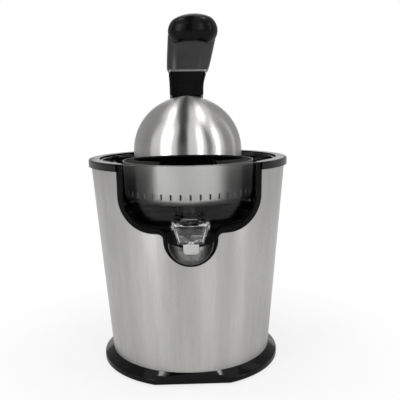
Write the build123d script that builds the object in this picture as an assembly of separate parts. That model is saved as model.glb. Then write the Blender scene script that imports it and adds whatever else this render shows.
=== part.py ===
from build123d import *
import os
from math import acos, cos, hypot, pi, radians, sin, sqrt, tan

# Electric citrus press: steel body, juice bowl, geared spindle and a hinged press arm.
# Millimetres. Z is up, the front faces -Y, and the spindle stands on the Z axis.

# Base
FOOT_HEIGHT = 1.5
FOOT_RADIUS = 8.0
FOOT_STEM_RADIUS = 3.0
FOOT_CIRCLE = 56.0
FOOT_COUNT = 4
SKIRT_FLARE = 8.55
SKIRT_LIP = 4.6
SKIRT_HEIGHT = 10.1
SKIRT_WIDTH = 14.25
SKIRT_LEDGE_WIDTH = 8.0
SKIRT_LEDGE_THICKNESS = 3.0
SKIRT_COLLAR_HEIGHT = 6.0
SKIRT_COLLAR_WALL = 2.4
SKIRT_FACET_DEPTH = 7.35
SKIRT_ROUND = 1.5
BOTTOM_PLATE_THICKNESS = 2.5
BOTTOM_SCREW_COUNT = 6
SCREW_SHANK_RADIUS = 1.5
SCREW_HEAD_RADIUS = 3.0
SCREW_HEAD_HEIGHT = 1.2
VENT_LENGTH = 26.0
VENT_WIDTH = 3.0
VENT_PITCH = 7.0
VENT_COUNT = 5

# Steel shell
SHELL_BOTTOM_RADIUS = 77.7
SHELL_HEIGHT = 180.0
SHELL_TOP_RADIUS = 92.5
SHELL_WALL = 1.0
GLAND_RISE = 15.4
GLAND_RADIUS = 5.0
GLAND_FLANGE_RADIUS = 8.0
GLAND_FLANGE_THICKNESS = 2.0
GLAND_DEPTH = 9.0
GLAND_BORE_RADIUS = 3.2

# Top ring and window
RING_OVERHANG = 2.5
RING_WIDTH = 10.0
RING_HEIGHT = 6.7
RING_ROUND = 1.6
WINDOW_HALF_WIDTH = 62.7
WINDOW_HEIGHT = 58.8
WINDOW_CORNER_RADIUS = 30.0
WINDOW_SHOULDER_RADIUS = 4.5
FRAME_SHOULDER_RADIUS = 8.0
SCOOP_WINDOW_DROP = 4.9
SCOOP_WINDOW_RADIUS = 23.5
FRAME_BORDER = 5.0
FRAME_DEPTH = 5.5
FRAME_PROUD = 0.8
SCOOP_LIP = 0.8
SCOOP_SIDE_BORDER = 3.0
SCOOP_DEPTH = 16.0
SCOOP_WALL = 1.6
SCOOP_TOP_GAP = 3.0

# Juice bowl
BOWL_RIM_DROP = 1.5
BOWL_HEIGHT = 56.8
BOWL_CLEARANCE = 0.8
BOWL_TAPER = 5.2
BOWL_CORNER_RADIUS = 11.0
BOWL_WALL = 2.2
BOWL_TUBE_RADIUS = 14.6
BOWL_TUBE_HEIGHT = 30.0
BOWL_SEAT_WIDTH = 3.4
BOWL_SEAT_HEIGHT = 18.6
SPIGOT_LENGTH = 13.0
SPIGOT_HALF_WIDTH = 9.0
SPIGOT_HEIGHT = 11.5

# Strainer
STRAINER_RADIUS = 61.2
STRAINER_TOP_RADIUS = 62.6
STRAINER_HEIGHT = 36.6
STRAINER_WALL = 0.8
STRAINER_CORNER_RADIUS = 9.0
STRAINER_RIM = 1.8
SLOT_COUNT = 44
SLOT_WIDTH = 1.3
SLOT_LENGTH = 10.0

# Tub and spindle tower
TUB_RIB_HEIGHT = 6.0
TUB_DECK_THICKNESS = 3.0
TUB_WALL = 2.0
TUB_FLANGE_THICKNESS = 2.0
TUB_RIB_RADIUS = 48.0
TUB_RIB_WIDTH = 3.0
TOWER_CLEARANCE = 0.8
TOWER_HEIGHT = 18.0
RING_SCREW_COUNT = 6
RING_SCREW_START = -25.0
RING_SCREW_SWEEP = 230.0
RING_SCREW_LENGTH = 4.0
RING_SCREW_SHANK = 1.1
RING_SCREW_HEAD = 2.0

# Motor, gears and spindle
GEAR_MODULE = 1.25
GEAR_TEETH = 48
PINION_TEETH = 14
GEAR_ADDENDUM = 0.85
GEAR_DEDENDUM = 1.25
GEAR_BACKLASH = 0.35
PRESSURE_ANGLE = radians(20)
GEAR_WIDTH = 8.0
GEAR_WEB = 4.0
GEAR_RIM = 5.0
PINION_WIDTH = 10.0
POST_LENGTH = 30.0
GEAR_LIFT = 2.4
GEAR_PLATE_THICKNESS = 3.0
GEAR_PLATE_HALF_WIDTH = 34.0
GEAR_PLATE_FRONT = 40.0
GEAR_PLATE_BACK = 66.0
POST_RADIUS = 4.0
POST_HOLE_DEPTH = 15.0
POST_SCREW_REACH = 10.0
HUB_RADIUS = 9.5
HUB_JOURNAL_RADIUS = 7.0
HUB_HEIGHT = 16.0
HUB_TAIL = 9.0
BUSH_WALL = 2.5
BUSH_FLANGE = 2.0
BUSH_FLANGE_THICKNESS = 1.2
CLIP_THICKNESS = 1.2
CLIP_WIDTH = 2.5
CLIP_GROOVE = 0.8
RUN_CLEARANCE = 0.06
SPINDLE_RADIUS = 5.0
SPINDLE_FLAT = 3.6
SPINDLE_REACH = 38.0
SPINDLE_TAIL = 5.0
SPINDLE_TRAVEL = 3.0
COLLAR_RADIUS = 8.6
COLLAR_HEIGHT = 2.0
SEAL_HEIGHT = 3.0
SEAL_GAP = 0.3
SPRING_WIRE_RADIUS = 0.6
SPRING_TURNS = 3
MOTOR_RADIUS = 27.0
MOTOR_STACK_HEIGHT = 26.0
MOTOR_YOKE = 4.0
MOTOR_POLE_HALF_WIDTH = 8.0
MOTOR_SHOE_THICKNESS = 3.0
MOTOR_SHOE_TURN = 60.0
ROTOR_RADIUS = 15.0
ROTOR_GAP = 0.6
ROTOR_SLOTS = 10
ROTOR_SLOT_WIDTH = 2.4
ROTOR_SLOT_DEPTH = 4.5
COIL_THICKNESS = 5.0
COIL_OVERHANG = 5.0
MOTOR_SHAFT_RADIUS = 3.0
BRACKET_THICKNESS = 3.0
BRACKET_HALF_WIDTH = 10.0
BEARING_RADIUS = 6.0
BEARING_HEIGHT = 6.0
COMMUTATOR_RADIUS = 8.0
COMMUTATOR_HEIGHT = 9.0
BRUSH_WIDTH = 6.0
BRUSH_LENGTH = 10.0
MOTOR_ROD_RADIUS = 2.0
MOTOR_ROD_SHANK = 1.0

# Switch under the spindle
SWITCH_LENGTH = 27.8
SWITCH_HEIGHT = 15.9
SWITCH_WIDTH = 10.3
SWITCH_HOLE_INSET = 3.4
PLUNGER_REACH = 6.5
PLUNGER_RADIUS = 1.6
SWITCH_PLATE_THICKNESS = 1.5
SWITCH_PLATE_WIDTH = 24.0
TERMINAL_LENGTH = 6.0
TERMINAL_COUNT = 3
TERMINAL_PITCH = 4.5
TERMINAL_WIDTH = 5.0
TERMINAL_THICKNESS = 1.0

# Reaming cone
CONE_RADIUS = 34.0
CONE_GAP = 5.0
CONE_HEIGHT = 53.0
CONE_RIM_HEIGHT = 3.0
CONE_WALL = 2.5
CONE_RIB_COUNT = 10
CONE_RIB_HEIGHT = 2.6
CONE_RIB_WIDTH = 3.2
CONE_BELLY = 0.62

# Flip spout
SPOUT_PIVOT_INSET = 4.0
SPOUT_PIVOT_RISE = 7.0
SPOUT_TOP_HALF_WIDTH = 15.7
SPOUT_MOUTH_HALF_WIDTH = 11.0
SPOUT_DEPTH = 16.5
SPOUT_MOUTH_DEPTH = 15.0
SPOUT_MOUTH_SETOFF = 4.0
SPOUT_SETOFF = 2.0
SPOUT_BACK_DROP = 1.5
SPOUT_TOP_RISE = 3.0
SPOUT_DROP = 12.5
SPOUT_WALL = 2.0
SPOUT_EAR_RADIUS = 3.4
SPOUT_EAR_THICKNESS = 2.6
SPOUT_CORNER = 4.5
SPOUT_NOTCH_RADIUS = 4.0
SPOUT_PIN_RADIUS = 1.5
TIP_HALF_WIDTH = 7.5
TIP_HALF_DEPTH = 6.0
TIP_HEIGHT = 10.8
TIP_NECK_RADIUS = 2.7
TIP_BORE_RADIUS = 1.8
TIP_ROUND = 4.0

# Press dome
DOME_RADIUS = 51.9
DOME_LIFT = 5.7
DOME_SKIRT = 7.5
DOME_WALL = 1.0
DOME_TILT = 8.0
LINER_WALL = 2.2
LINER_RIM = 1.2
BOSS_RADIUS = 9.0
BOSS_LEAN = 28.0
DOME_SCREW_RADIUS = 2.5
DOME_SCREW_HEAD = 5.0

# Press arm and hinge
ARM_HALF_WIDTH = 16.5
ARM_GAP = 1.6
ARM_DEPTH = 15.0
ARM_EDGE_RADIUS = 3.0
ARM_ROOT_RADIUS = 9.0
HINGE_SETBACK = 0.5
HINGE_RISE = 11.2
KNUCKLE_RADIUS = 9.0
HINGE_PIN_RADIUS = 3.0
HINGE_GAP = 0.4
BRACKET_CHEEK = 5.5
BRACKET_REACH = 9.3
BRACKET_APRON = 26.0
BRACKET_FLOOR = 1.6
BRACKET_ROUND = 5.0
HINGE_SCREW_X = 12.0
HINGE_SCREW_INSET = 6.5
HINGE_SCREW_LENGTH = 9.0
COLUMN_FRONT_Y = 11.0
COLUMN_BACK_Y = 39.0
COLUMN_HEIGHT = 75.5
COLUMN_FLARE_HEIGHT = 17.5
COLUMN_FLARE_RIGHT = 4.0
COLUMN_FLARE_LEFT = 1.0
PANEL_HALF_WIDTH = 10.0
PANEL_DEPTH = 1.2
PANEL_DROP = 9.5
COVER_THICKNESS = 2.0
COVER_HALF_WIDTH = 11.0
COVER_LOW_TURN = 22.0
COVER_HIGH_TURN = 45.0
COVER_SCREW_INSET = 5.0

# Trim ring and grip
TRIM_HEIGHT = 1.8
TRIM_PROUD = 0.5
GRIP_WIDTH = 37.0
GRIP_DEPTH = 27.0
BULB_WIDTH = 45.5
BULB_DEPTH = 34.0
BULB_RISE = 31.7
BULB_X = 5.8
BULB_Y = 15.0
BULB_LEAN = 16.0
GRIP_ROLL = 5.0
GRIP_CORNER = 0.42
CAP_STEPS = (0.4, 0.7, 0.9, 0.985)
CAP_POWER = 2.4
LIP_RISE = 23.2
LIP_STEP = 0.8
SLEEVE_STEPS = (0.0, 0.5, 1.0)
GRIP_HEIGHT = 49.2

# Clearances
FIT = 0.2
SEAT_GAP = 0.03
EDGE_ROUND = 0.6
MOVING_GAP = 0.4

# Levels and places that follow from the sizes
SKIRT_BOTTOM_Z = FOOT_HEIGHT
SHELL_BOTTOM_Z = SKIRT_BOTTOM_Z + SKIRT_HEIGHT
SHELL_TOP_Z = SHELL_BOTTOM_Z + SHELL_HEIGHT
SKIRT_RADIUS = SHELL_BOTTOM_RADIUS + SKIRT_FLARE
SKIRT_INNER_RADIUS = SKIRT_RADIUS - SKIRT_WIDTH
SKIRT_FACET_Y = SKIRT_RADIUS - SKIRT_FACET_DEPTH
RING_RADIUS = SHELL_TOP_RADIUS + RING_OVERHANG
RING_INNER_RADIUS = RING_RADIUS - RING_WIDTH
SHELL_SLOPE = (SHELL_TOP_RADIUS - SHELL_BOTTOM_RADIUS) / SHELL_HEIGHT
PLATE_TOP_Z = SKIRT_BOTTOM_Z + BOTTOM_PLATE_THICKNESS
RING_TOP_Z = SHELL_TOP_Z + RING_HEIGHT
WINDOW_LOW_Z = RING_TOP_Z - WINDOW_HEIGHT
SCOOP_WINDOW_Z = WINDOW_LOW_Z - SCOOP_WINDOW_DROP
SCOOP_RADIUS = SCOOP_WINDOW_RADIUS - SCOOP_SIDE_BORDER
SCOOP_Z = SCOOP_WINDOW_Z - SCOOP_WINDOW_RADIUS + SCOOP_LIP + SCOOP_RADIUS
BOWL_TOP_Z = RING_TOP_Z - BOWL_RIM_DROP
BOWL_TOP_RADIUS = RING_INNER_RADIUS - BOWL_CLEARANCE
BOWL_BOTTOM_RADIUS = BOWL_TOP_RADIUS - BOWL_TAPER
BOWL_FLOOR_Z = BOWL_TOP_Z - BOWL_HEIGHT
BOWL_SEAT_RADIUS = BOWL_TUBE_RADIUS + BOWL_SEAT_WIDTH
BOWL_SEAT_Z = BOWL_FLOOR_Z + BOWL_SEAT_HEIGHT
BOWL_TUBE_TOP_Z = BOWL_FLOOR_Z + BOWL_TUBE_HEIGHT
BOWL_BORE_RADIUS = BOWL_TUBE_RADIUS - BOWL_WALL
STRAINER_TOP_Z = BOWL_SEAT_Z + STRAINER_HEIGHT
TUB_DECK_Z = BOWL_FLOOR_Z - TUB_RIB_HEIGHT
TUB_UNDER_Z = TUB_DECK_Z - TUB_DECK_THICKNESS
TOWER_RADIUS = BOWL_BORE_RADIUS - TOWER_CLEARANCE
TOWER_TOP_Z = TUB_DECK_Z + TOWER_HEIGHT
TOWER_BORE_RADIUS = SPINDLE_RADIUS + RUN_CLEARANCE + BUSH_WALL
GEAR_PLATE_TOP_Z = TUB_UNDER_Z - POST_LENGTH
GEAR_PLATE_Z = GEAR_PLATE_TOP_Z - GEAR_PLATE_THICKNESS
GEAR_Z = GEAR_PLATE_TOP_Z + GEAR_LIFT
PINION_Z = GEAR_Z - (PINION_WIDTH - GEAR_WIDTH) / 2
HUB_TOP_Z = GEAR_PLATE_TOP_Z + HUB_HEIGHT
HUB_BOTTOM_Z = GEAR_PLATE_Z - HUB_TAIL
PLATE_BUSH_BORE = HUB_JOURNAL_RADIUS + RUN_CLEARANCE
CENTRE_DISTANCE = GEAR_MODULE * (GEAR_TEETH + PINION_TEETH) / 2
COLLAR_TOP_Z = TUB_UNDER_Z - BUSH_FLANGE_THICKNESS - MOVING_GAP
COLLAR_Z = COLLAR_TOP_Z - COLLAR_HEIGHT
SPINDLE_TOP_Z = TOWER_TOP_Z + SPINDLE_REACH
SPINDLE_BOTTOM_Z = HUB_BOTTOM_Z - SPINDLE_TAIL
PLUNGER_TOP_Z = SPINDLE_BOTTOM_Z - MOVING_GAP
SWITCH_TOP_Z = PLUNGER_TOP_Z - PLUNGER_REACH
SWITCH_Z = SWITCH_TOP_Z - SWITCH_HEIGHT
CONE_BOTTOM_Z = BOWL_SEAT_Z + STRAINER_WALL + CONE_GAP
MOTOR_TOP_Z = GEAR_PLATE_Z - BEARING_HEIGHT - COIL_OVERHANG - MOVING_GAP
MOTOR_Z = MOTOR_TOP_Z - MOTOR_STACK_HEIGHT
COMMUTATOR_Z = MOTOR_Z - COIL_OVERHANG - COMMUTATOR_HEIGHT
MOTOR_END_Z = COMMUTATOR_Z - BEARING_HEIGHT + BRACKET_THICKNESS - MOVING_GAP
SPIGOT_REACH = BOWL_BOTTOM_RADIUS + SPIGOT_LENGTH
SPOUT_PIVOT_Y = SPOUT_PIVOT_INSET - SPIGOT_REACH
SPOUT_FRONT_Y = SPOUT_PIVOT_Y - SPOUT_DEPTH
SPOUT_MOUTH_FRONT_Y = SPOUT_PIVOT_Y - SPOUT_MOUTH_DEPTH
SPOUT_MOUTH_BACK_Y = SPOUT_PIVOT_Y - SPOUT_MOUTH_SETOFF
SPOUT_BACK_Y = SPOUT_PIVOT_Y - SPOUT_SETOFF
SPOUT_PIVOT_Z = BOWL_FLOOR_Z + SPOUT_PIVOT_RISE
SPOUT_TOP_Z = SPOUT_PIVOT_Z + SPOUT_TOP_RISE
SPOUT_MOUTH_Z = SPOUT_PIVOT_Z - SPOUT_DROP
SPIGOT_TOP_Z = BOWL_FLOOR_Z + SPIGOT_HEIGHT
TIP_Y = (SPOUT_MOUTH_FRONT_Y + SPOUT_MOUTH_BACK_Y) / 2
DOME_CENTRE_Z = RING_TOP_Z + DOME_LIFT
HINGE_Y = RING_RADIUS + HINGE_SETBACK
HINGE_Z = RING_TOP_Z + HINGE_RISE
BRACKET_REAR_Y = HINGE_Y + BRACKET_REACH
ARM_INNER_RADIUS = DOME_RADIUS + ARM_GAP
ARM_OUTER_RADIUS = ARM_INNER_RADIUS + ARM_DEPTH
COLUMN_TOP_Z = DOME_CENTRE_Z + COLUMN_HEIGHT
COLUMN_FLARE_Z = COLUMN_TOP_Z - COLUMN_FLARE_HEIGHT
COLUMN_Y = (COLUMN_FRONT_Y + COLUMN_BACK_Y) / 2
COLUMN_DEPTH = COLUMN_BACK_Y - COLUMN_FRONT_Y
TRIM_X = (COLUMN_FLARE_RIGHT - COLUMN_FLARE_LEFT) / 2
TRIM_TOP_Z = COLUMN_TOP_Z + TRIM_HEIGHT
BRACKET_HALF = ARM_HALF_WIDTH + HINGE_GAP + BRACKET_CHEEK
BRACKET_LOW_Z = SHELL_TOP_Z - BRACKET_APRON


def shell_radius(z):
    """Outer radius of the steel shell at a height."""
    return SHELL_BOTTOM_RADIUS + SHELL_SLOPE * (z - SHELL_BOTTOM_Z)


def turned(points, rounds=None):
    """Solid of revolution about Z from (radius, height) points, with a rounding for each point."""
    line = FilletPolyline(*points, radius=rounds, close=True) if rounds else Polyline(*points, close=True)
    return revolve(Plane.XZ * make_face(line), Axis.Z)


def peg(radius, low, high, x=0, y=0):
    """Upright round bar."""
    return Pos(x, y, low) * Cylinder(radius, high - low, align=(Align.CENTER, Align.CENTER, Align.MIN))


def tube(outer, inner, low, high, x=0, y=0):
    """Upright round tube."""
    return peg(outer, low, high, x, y) - peg(inner, low, high, x, y)


def rod(radius, start, end, y, z):
    """Round bar along X."""
    bar = Cylinder(radius, end - start, align=(Align.CENTER, Align.CENTER, Align.MIN))
    return Pos(start, y, z) * Rot(0, 90, 0) * bar


def block(x0, x1, y0, y1, z0, z1):
    """Box between two corners."""
    return Pos((x0 + x1) / 2, (y0 + y1) / 2, (z0 + z1) / 2) * Box(x1 - x0, y1 - y0, z1 - z0)


def on_circle(count, radius, start=0):
    """Evenly spaced (x, y) places on a circle, from a start angle in degrees."""
    turns = [radians(start + 360 * index / count) for index in range(count)]
    return [(radius * cos(turn), radius * sin(turn)) for turn in turns]


def screw(low, length, x, y, shank=SCREW_SHANK_RADIUS, head=SCREW_HEAD_RADIUS):
    """Pan-head screw that points up, with its head below the level given."""
    return peg(shank, low, low + length, x, y) + peg(head, low - SCREW_HEAD_HEIGHT, low, x, y)


def gathered(pieces):
    """Group of separate solids."""
    return Compound(children=[solid for piece in pieces for solid in piece.solids()])


def save(name, shape):
    export_step(shape, f"parts/{name}.step")


def window_face(inset, scoop_z, scoop_radius, shoulder):
    """Outline of the front window: a wide U with a smaller U below it, drawn on the XZ plane."""
    half = WINDOW_HALF_WIDTH - inset
    low = WINDOW_LOW_Z + inset
    high = RING_TOP_Z + RING_HEIGHT
    wide = Pos(0, (low + high) / 2) * Rectangle(2 * half, high - low)
    wide = fillet(wide.vertices().sort_by(Axis.Y)[:2], WINDOW_CORNER_RADIUS - inset)
    neck_top = low + shoulder
    neck = Pos(0, (scoop_z + neck_top) / 2) * Rectangle(2 * scoop_radius, neck_top - scoop_z)
    face = wide + neck + Pos(0, scoop_z) * Circle(scoop_radius)
    corners = [v for v in face.vertices() if abs(v.Y - low) < FIT and abs(abs(v.X) - scoop_radius) < FIT]
    return Plane.XZ * fillet(corners, shoulder)


def window_cutter(inset=0.0):
    """Solid that cuts the window's outer outline through the front."""
    face = window_face(inset, SCOOP_WINDOW_Z, SCOOP_WINDOW_RADIUS - inset, WINDOW_SHOULDER_RADIUS)
    return extrude(face, amount=2 * RING_RADIUS)


def view_cutter():
    """Solid that cuts the opening inside the black frame."""
    face = window_face(FRAME_BORDER, SCOOP_Z, SCOOP_RADIUS, FRAME_SHOULDER_RADIUS)
    return extrude(face, amount=2 * RING_RADIUS)


def cone_body(offset, low, high):
    """Solid cone parallel to the steel shell."""
    wide_low, wide_high = shell_radius(low) + offset, shell_radius(high) + offset
    return turned([(0, low), (wide_low, low), (wide_high, high), (0, high)])


def bar(radius, start, end, z, x=0):
    """Round bar along Y."""
    body = Cylinder(radius, end - start, align=(Align.CENTER, Align.CENTER, Align.MIN))
    return Pos(x, start, z) * Rot(-90, 0, 0) * body


def tub_radius(z):
    """Inner radius of the tub, which follows the bowl's wall."""
    slope = (BOWL_TOP_RADIUS - BOWL_BOTTOM_RADIUS) / BOWL_HEIGHT
    return BOWL_BOTTOM_RADIUS + slope * (z - BOWL_FLOOR_Z) + BOWL_CLEARANCE


BOTTOM_SCREW_CIRCLE = SKIRT_INNER_RADIUS - SKIRT_LEDGE_WIDTH / 2
BOTTOM_SCREW_PLACES = on_circle(BOTTOM_SCREW_COUNT, BOTTOM_SCREW_CIRCLE)
FOOT_PLACES = on_circle(FOOT_COUNT, FOOT_CIRCLE, 45)
SCREW_HOLE_RADIUS = SCREW_SHANK_RADIUS + FIT


def base_skirt():
    """Foot ring with a flat front facet, a ledge over the bottom plate and a collar inside the shell."""
    collar = SHELL_BOTTOM_RADIUS - SHELL_WALL - FIT
    collar_top = SHELL_BOTTOM_Z + SKIRT_COLLAR_HEIGHT
    ledge_top = PLATE_TOP_Z + SKIRT_LEDGE_THICKNESS
    ledge_radius = SKIRT_INNER_RADIUS - SKIRT_LEDGE_WIDTH
    ring = turned(
        [
            (SKIRT_INNER_RADIUS, SKIRT_BOTTOM_Z),
            (SKIRT_RADIUS, SKIRT_BOTTOM_Z),
            (SKIRT_RADIUS, SKIRT_BOTTOM_Z + SKIRT_LIP),
            (SHELL_BOTTOM_RADIUS + FIT, SHELL_BOTTOM_Z),
            (collar, SHELL_BOTTOM_Z),
            (collar, collar_top),
            (collar - SKIRT_COLLAR_WALL, collar_top),
            (collar - SKIRT_COLLAR_WALL, ledge_top),
            (ledge_radius, ledge_top),
            (ledge_radius, PLATE_TOP_Z),
            (SKIRT_INNER_RADIUS, PLATE_TOP_Z),
        ],
        [0, EDGE_ROUND, SKIRT_ROUND, 0, 0, EDGE_ROUND, EDGE_ROUND, 0, 0, 0, 0],
    )
    reach = 2 * SKIRT_RADIUS
    ring -= block(-reach, reach, -reach, -SKIRT_FACET_Y, 0, SHELL_BOTTOM_Z)
    for x, y in BOTTOM_SCREW_PLACES:
        ring -= peg(SCREW_HOLE_RADIUS, SKIRT_BOTTOM_Z, ledge_top, x, y)
    return ring


def bottom_plate():
    """Plate that closes the base, with vent slots and holes for screws and feet."""
    face = Circle(SKIRT_INNER_RADIUS - FIT)
    for index in range(VENT_COUNT):
        face -= Pos(0, (index - (VENT_COUNT - 1) / 2) * VENT_PITCH) * SlotOverall(VENT_LENGTH, VENT_WIDTH)
    for x, y in BOTTOM_SCREW_PLACES:
        face -= Pos(x, y) * Circle(SCREW_HOLE_RADIUS)
    for x, y in FOOT_PLACES:
        face -= Pos(x, y) * Circle(FOOT_STEM_RADIUS + FIT)
    return Pos(0, 0, SKIRT_BOTTOM_Z) * extrude(face, amount=BOTTOM_PLATE_THICKNESS)


def rubber_feet():
    """Feet with a stem pushed into the bottom plate."""
    pads = [peg(FOOT_RADIUS, 0, FOOT_HEIGHT, x, y) for x, y in FOOT_PLACES]
    stems = [peg(FOOT_STEM_RADIUS, FOOT_HEIGHT, PLATE_TOP_Z, x, y) for x, y in FOOT_PLACES]
    return gathered([pad + stem for pad, stem in zip(pads, stems)])


def bottom_screws():
    length = BOTTOM_PLATE_THICKNESS + SKIRT_LEDGE_THICKNESS
    return gathered([screw(SKIRT_BOTTOM_Z, length, x, y) for x, y in BOTTOM_SCREW_PLACES])


def steel_shell():
    """Tapered sheet body with the window cut in its front and the gland's hole in its rear."""
    shell = turned(
        [
            (SHELL_BOTTOM_RADIUS - SHELL_WALL, SHELL_BOTTOM_Z),
            (SHELL_BOTTOM_RADIUS, SHELL_BOTTOM_Z),
            (SHELL_TOP_RADIUS, SHELL_TOP_Z),
            (SHELL_TOP_RADIUS - SHELL_WALL, SHELL_TOP_Z),
        ]
    )
    gland_z = SHELL_BOTTOM_Z + GLAND_RISE
    shell -= hinge_screw_bars(SCREW_HOLE_RADIUS, 0, RING_RADIUS)
    return shell - window_cutter() - bar(GLAND_RADIUS + FIT, 0, RING_RADIUS, gland_z)


def cord_gland():
    """Flanged bush for the supply lead."""
    gland_z = SHELL_BOTTOM_Z + GLAND_RISE
    wall_y = shell_radius(gland_z)
    flange = bar(GLAND_FLANGE_RADIUS, wall_y - GLAND_DEPTH, wall_y + GLAND_FLANGE_THICKNESS, gland_z)
    flange -= cone_body(0, SHELL_BOTTOM_Z, SHELL_TOP_Z)
    barrel = bar(GLAND_RADIUS, wall_y - GLAND_DEPTH, wall_y + GLAND_FLANGE_THICKNESS, gland_z)
    return flange + barrel - bar(GLAND_BORE_RADIUS, 0, 2 * wall_y, gland_z)


def top_ring():
    """Flat black ring on top of the shell, open at the window."""
    corner = RING_ROUND * (1 - sqrt(0.5))
    ring = turned(
        [
            (RING_INNER_RADIUS, SHELL_TOP_Z),
            (RING_RADIUS, SHELL_TOP_Z),
            (RING_RADIUS, RING_TOP_Z - RING_ROUND),
            (RING_RADIUS - corner, RING_TOP_Z - corner),
            (RING_RADIUS - RING_ROUND, RING_TOP_Z),
            (RING_INNER_RADIUS, RING_TOP_Z),
        ]
    )
    for x, y in ring_screw_places():
        ring -= peg(RING_SCREW_SHANK + FIT, SHELL_TOP_Z, SHELL_TOP_Z + RING_SCREW_LENGTH, x, y)
    return ring - window_cutter()


def front_frame():
    """Black moulding that lines the window, a little proud of the steel."""
    low = SCOOP_WINDOW_Z - 2 * SCOOP_WINDOW_RADIUS
    band = cone_body(FRAME_PROUD, low, RING_TOP_Z) - cone_body(-FRAME_DEPTH, low, RING_TOP_Z)
    return band & (window_cutter(FIT) - view_cutter())


def scoop_envelope(gap):
    """Round plug that the drip scoop is cut from, grown by a gap."""
    back = shell_radius(SCOOP_Z) - SCOOP_DEPTH - gap
    return bar(SCOOP_RADIUS - FIT + gap, -RING_RADIUS, -back, SCOOP_Z)


def drip_scoop():
    """Dished recess under the spout."""
    face_y = shell_radius(SCOOP_Z)
    rim = SCOOP_RADIUS - FIT - SCOOP_LIP
    deep = SCOOP_DEPTH - SCOOP_WALL
    dish_radius = (rim**2 + deep**2) / (2 * deep)
    plug = scoop_envelope(0) & cone_body(0, SHELL_BOTTOM_Z, SHELL_TOP_Z)
    plug -= Pos(0, deep - face_y - dish_radius, SCOOP_Z) * Sphere(dish_radius)
    top = BOWL_FLOOR_Z - SCOOP_TOP_GAP
    reach = RING_RADIUS
    return plug - block(-reach, reach, -reach, 0, top, RING_TOP_Z)


def ring_screw_places():
    """Places of the screws that hold the tub's flange under the ring, all behind the window."""
    radius = (tub_radius(SHELL_TOP_Z) + TUB_WALL + shell_radius(SHELL_TOP_Z) - SHELL_WALL) / 2
    step = RING_SCREW_SWEEP / (RING_SCREW_COUNT - 1)
    turns = [radians(RING_SCREW_START + step * index) for index in range(RING_SCREW_COUNT)]
    return [(radius * cos(turn), radius * sin(turn)) for turn in turns]


def inner_tub():
    """Black tub under the bowl, with a deck, a support rib and the spindle tower."""
    flange_z = SHELL_TOP_Z - TUB_FLANGE_THICKNESS
    flange = shell_radius(flange_z) - SHELL_WALL - FIT
    rib = TUB_RIB_RADIUS + TUB_RIB_WIDTH
    tub = turned(
        [
            (TOWER_BORE_RADIUS, TUB_UNDER_Z),
            (tub_radius(TUB_UNDER_Z) + TUB_WALL, TUB_UNDER_Z),
            (tub_radius(flange_z) + TUB_WALL, flange_z),
            (flange, flange_z),
            (flange, SHELL_TOP_Z),
            (tub_radius(SHELL_TOP_Z), SHELL_TOP_Z),
            (tub_radius(TUB_DECK_Z), TUB_DECK_Z),
            (rib, TUB_DECK_Z),
            (rib, BOWL_FLOOR_Z),
            (TUB_RIB_RADIUS, BOWL_FLOOR_Z),
            (TUB_RIB_RADIUS, TUB_DECK_Z),
            (TOWER_RADIUS, TUB_DECK_Z),
            (TOWER_RADIUS, TOWER_TOP_Z),
            (TOWER_BORE_RADIUS, TOWER_TOP_Z),
        ]
    )
    reach = RING_RADIUS
    above_deck = block(-reach, reach, -reach, -rib, TUB_DECK_Z, RING_TOP_Z)
    tub -= window_cutter(-FIT) & above_deck
    tub -= scoop_envelope(FIT)
    for x, y in ring_screw_places():
        tub -= peg(RING_SCREW_SHANK + FIT, flange_z, SHELL_TOP_Z, x, y)
    return tub


def ring_screws():
    low = SHELL_TOP_Z - TUB_FLANGE_THICKNESS
    length = TUB_FLANGE_THICKNESS + RING_SCREW_LENGTH
    places = ring_screw_places()
    return gathered([screw(low, length, x, y, RING_SCREW_SHANK, RING_SCREW_HEAD) for x, y in places])


def juice_bowl():
    """Clear bowl with a raised centre tube, a seat for the strainer and a square spigot at the front."""
    inner_floor = BOWL_FLOOR_Z + BOWL_WALL
    inner_corner = BOWL_CORNER_RADIUS - BOWL_WALL
    bowl = turned(
        [
            (BOWL_BORE_RADIUS, BOWL_FLOOR_Z),
            (BOWL_BOTTOM_RADIUS, BOWL_FLOOR_Z),
            (BOWL_TOP_RADIUS, BOWL_TOP_Z),
            (BOWL_TOP_RADIUS - BOWL_WALL, BOWL_TOP_Z),
            (BOWL_BOTTOM_RADIUS - BOWL_WALL, inner_floor),
            (BOWL_SEAT_RADIUS, inner_floor),
            (BOWL_SEAT_RADIUS, BOWL_SEAT_Z),
            (BOWL_TUBE_RADIUS, BOWL_SEAT_Z),
            (BOWL_TUBE_RADIUS, BOWL_TUBE_TOP_Z),
            (BOWL_BORE_RADIUS, BOWL_TUBE_TOP_Z),
        ],
        [0, BOWL_CORNER_RADIUS, EDGE_ROUND, EDGE_ROUND, inner_corner, BOWL_WALL, 0, 0, 0, 0],
    )
    half = SPIGOT_HALF_WIDTH
    inside = BOWL_BOTTOM_RADIUS - BOWL_CORNER_RADIUS
    spigot = block(-half, half, -SPIGOT_REACH, -inside, BOWL_FLOOR_Z, SPIGOT_TOP_Z)
    spigot -= turned(
        [
            (0, inner_floor),
            (BOWL_BOTTOM_RADIUS - BOWL_WALL, inner_floor),
            (BOWL_TOP_RADIUS - BOWL_WALL, BOWL_TOP_Z),
            (0, BOWL_TOP_Z),
        ],
        [0, inner_corner, 0, 0],
    )
    half -= BOWL_WALL
    channel_top = SPIGOT_TOP_Z - BOWL_WALL
    channel = block(-half, half, -SPIGOT_REACH, -inside, inner_floor, channel_top)
    pin_hole = rod(SPOUT_PIN_RADIUS + RUN_CLEARANCE, -RING_RADIUS, RING_RADIUS, SPOUT_PIVOT_Y, SPOUT_PIVOT_Z)
    return bowl + spigot - channel - pin_hole


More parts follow.
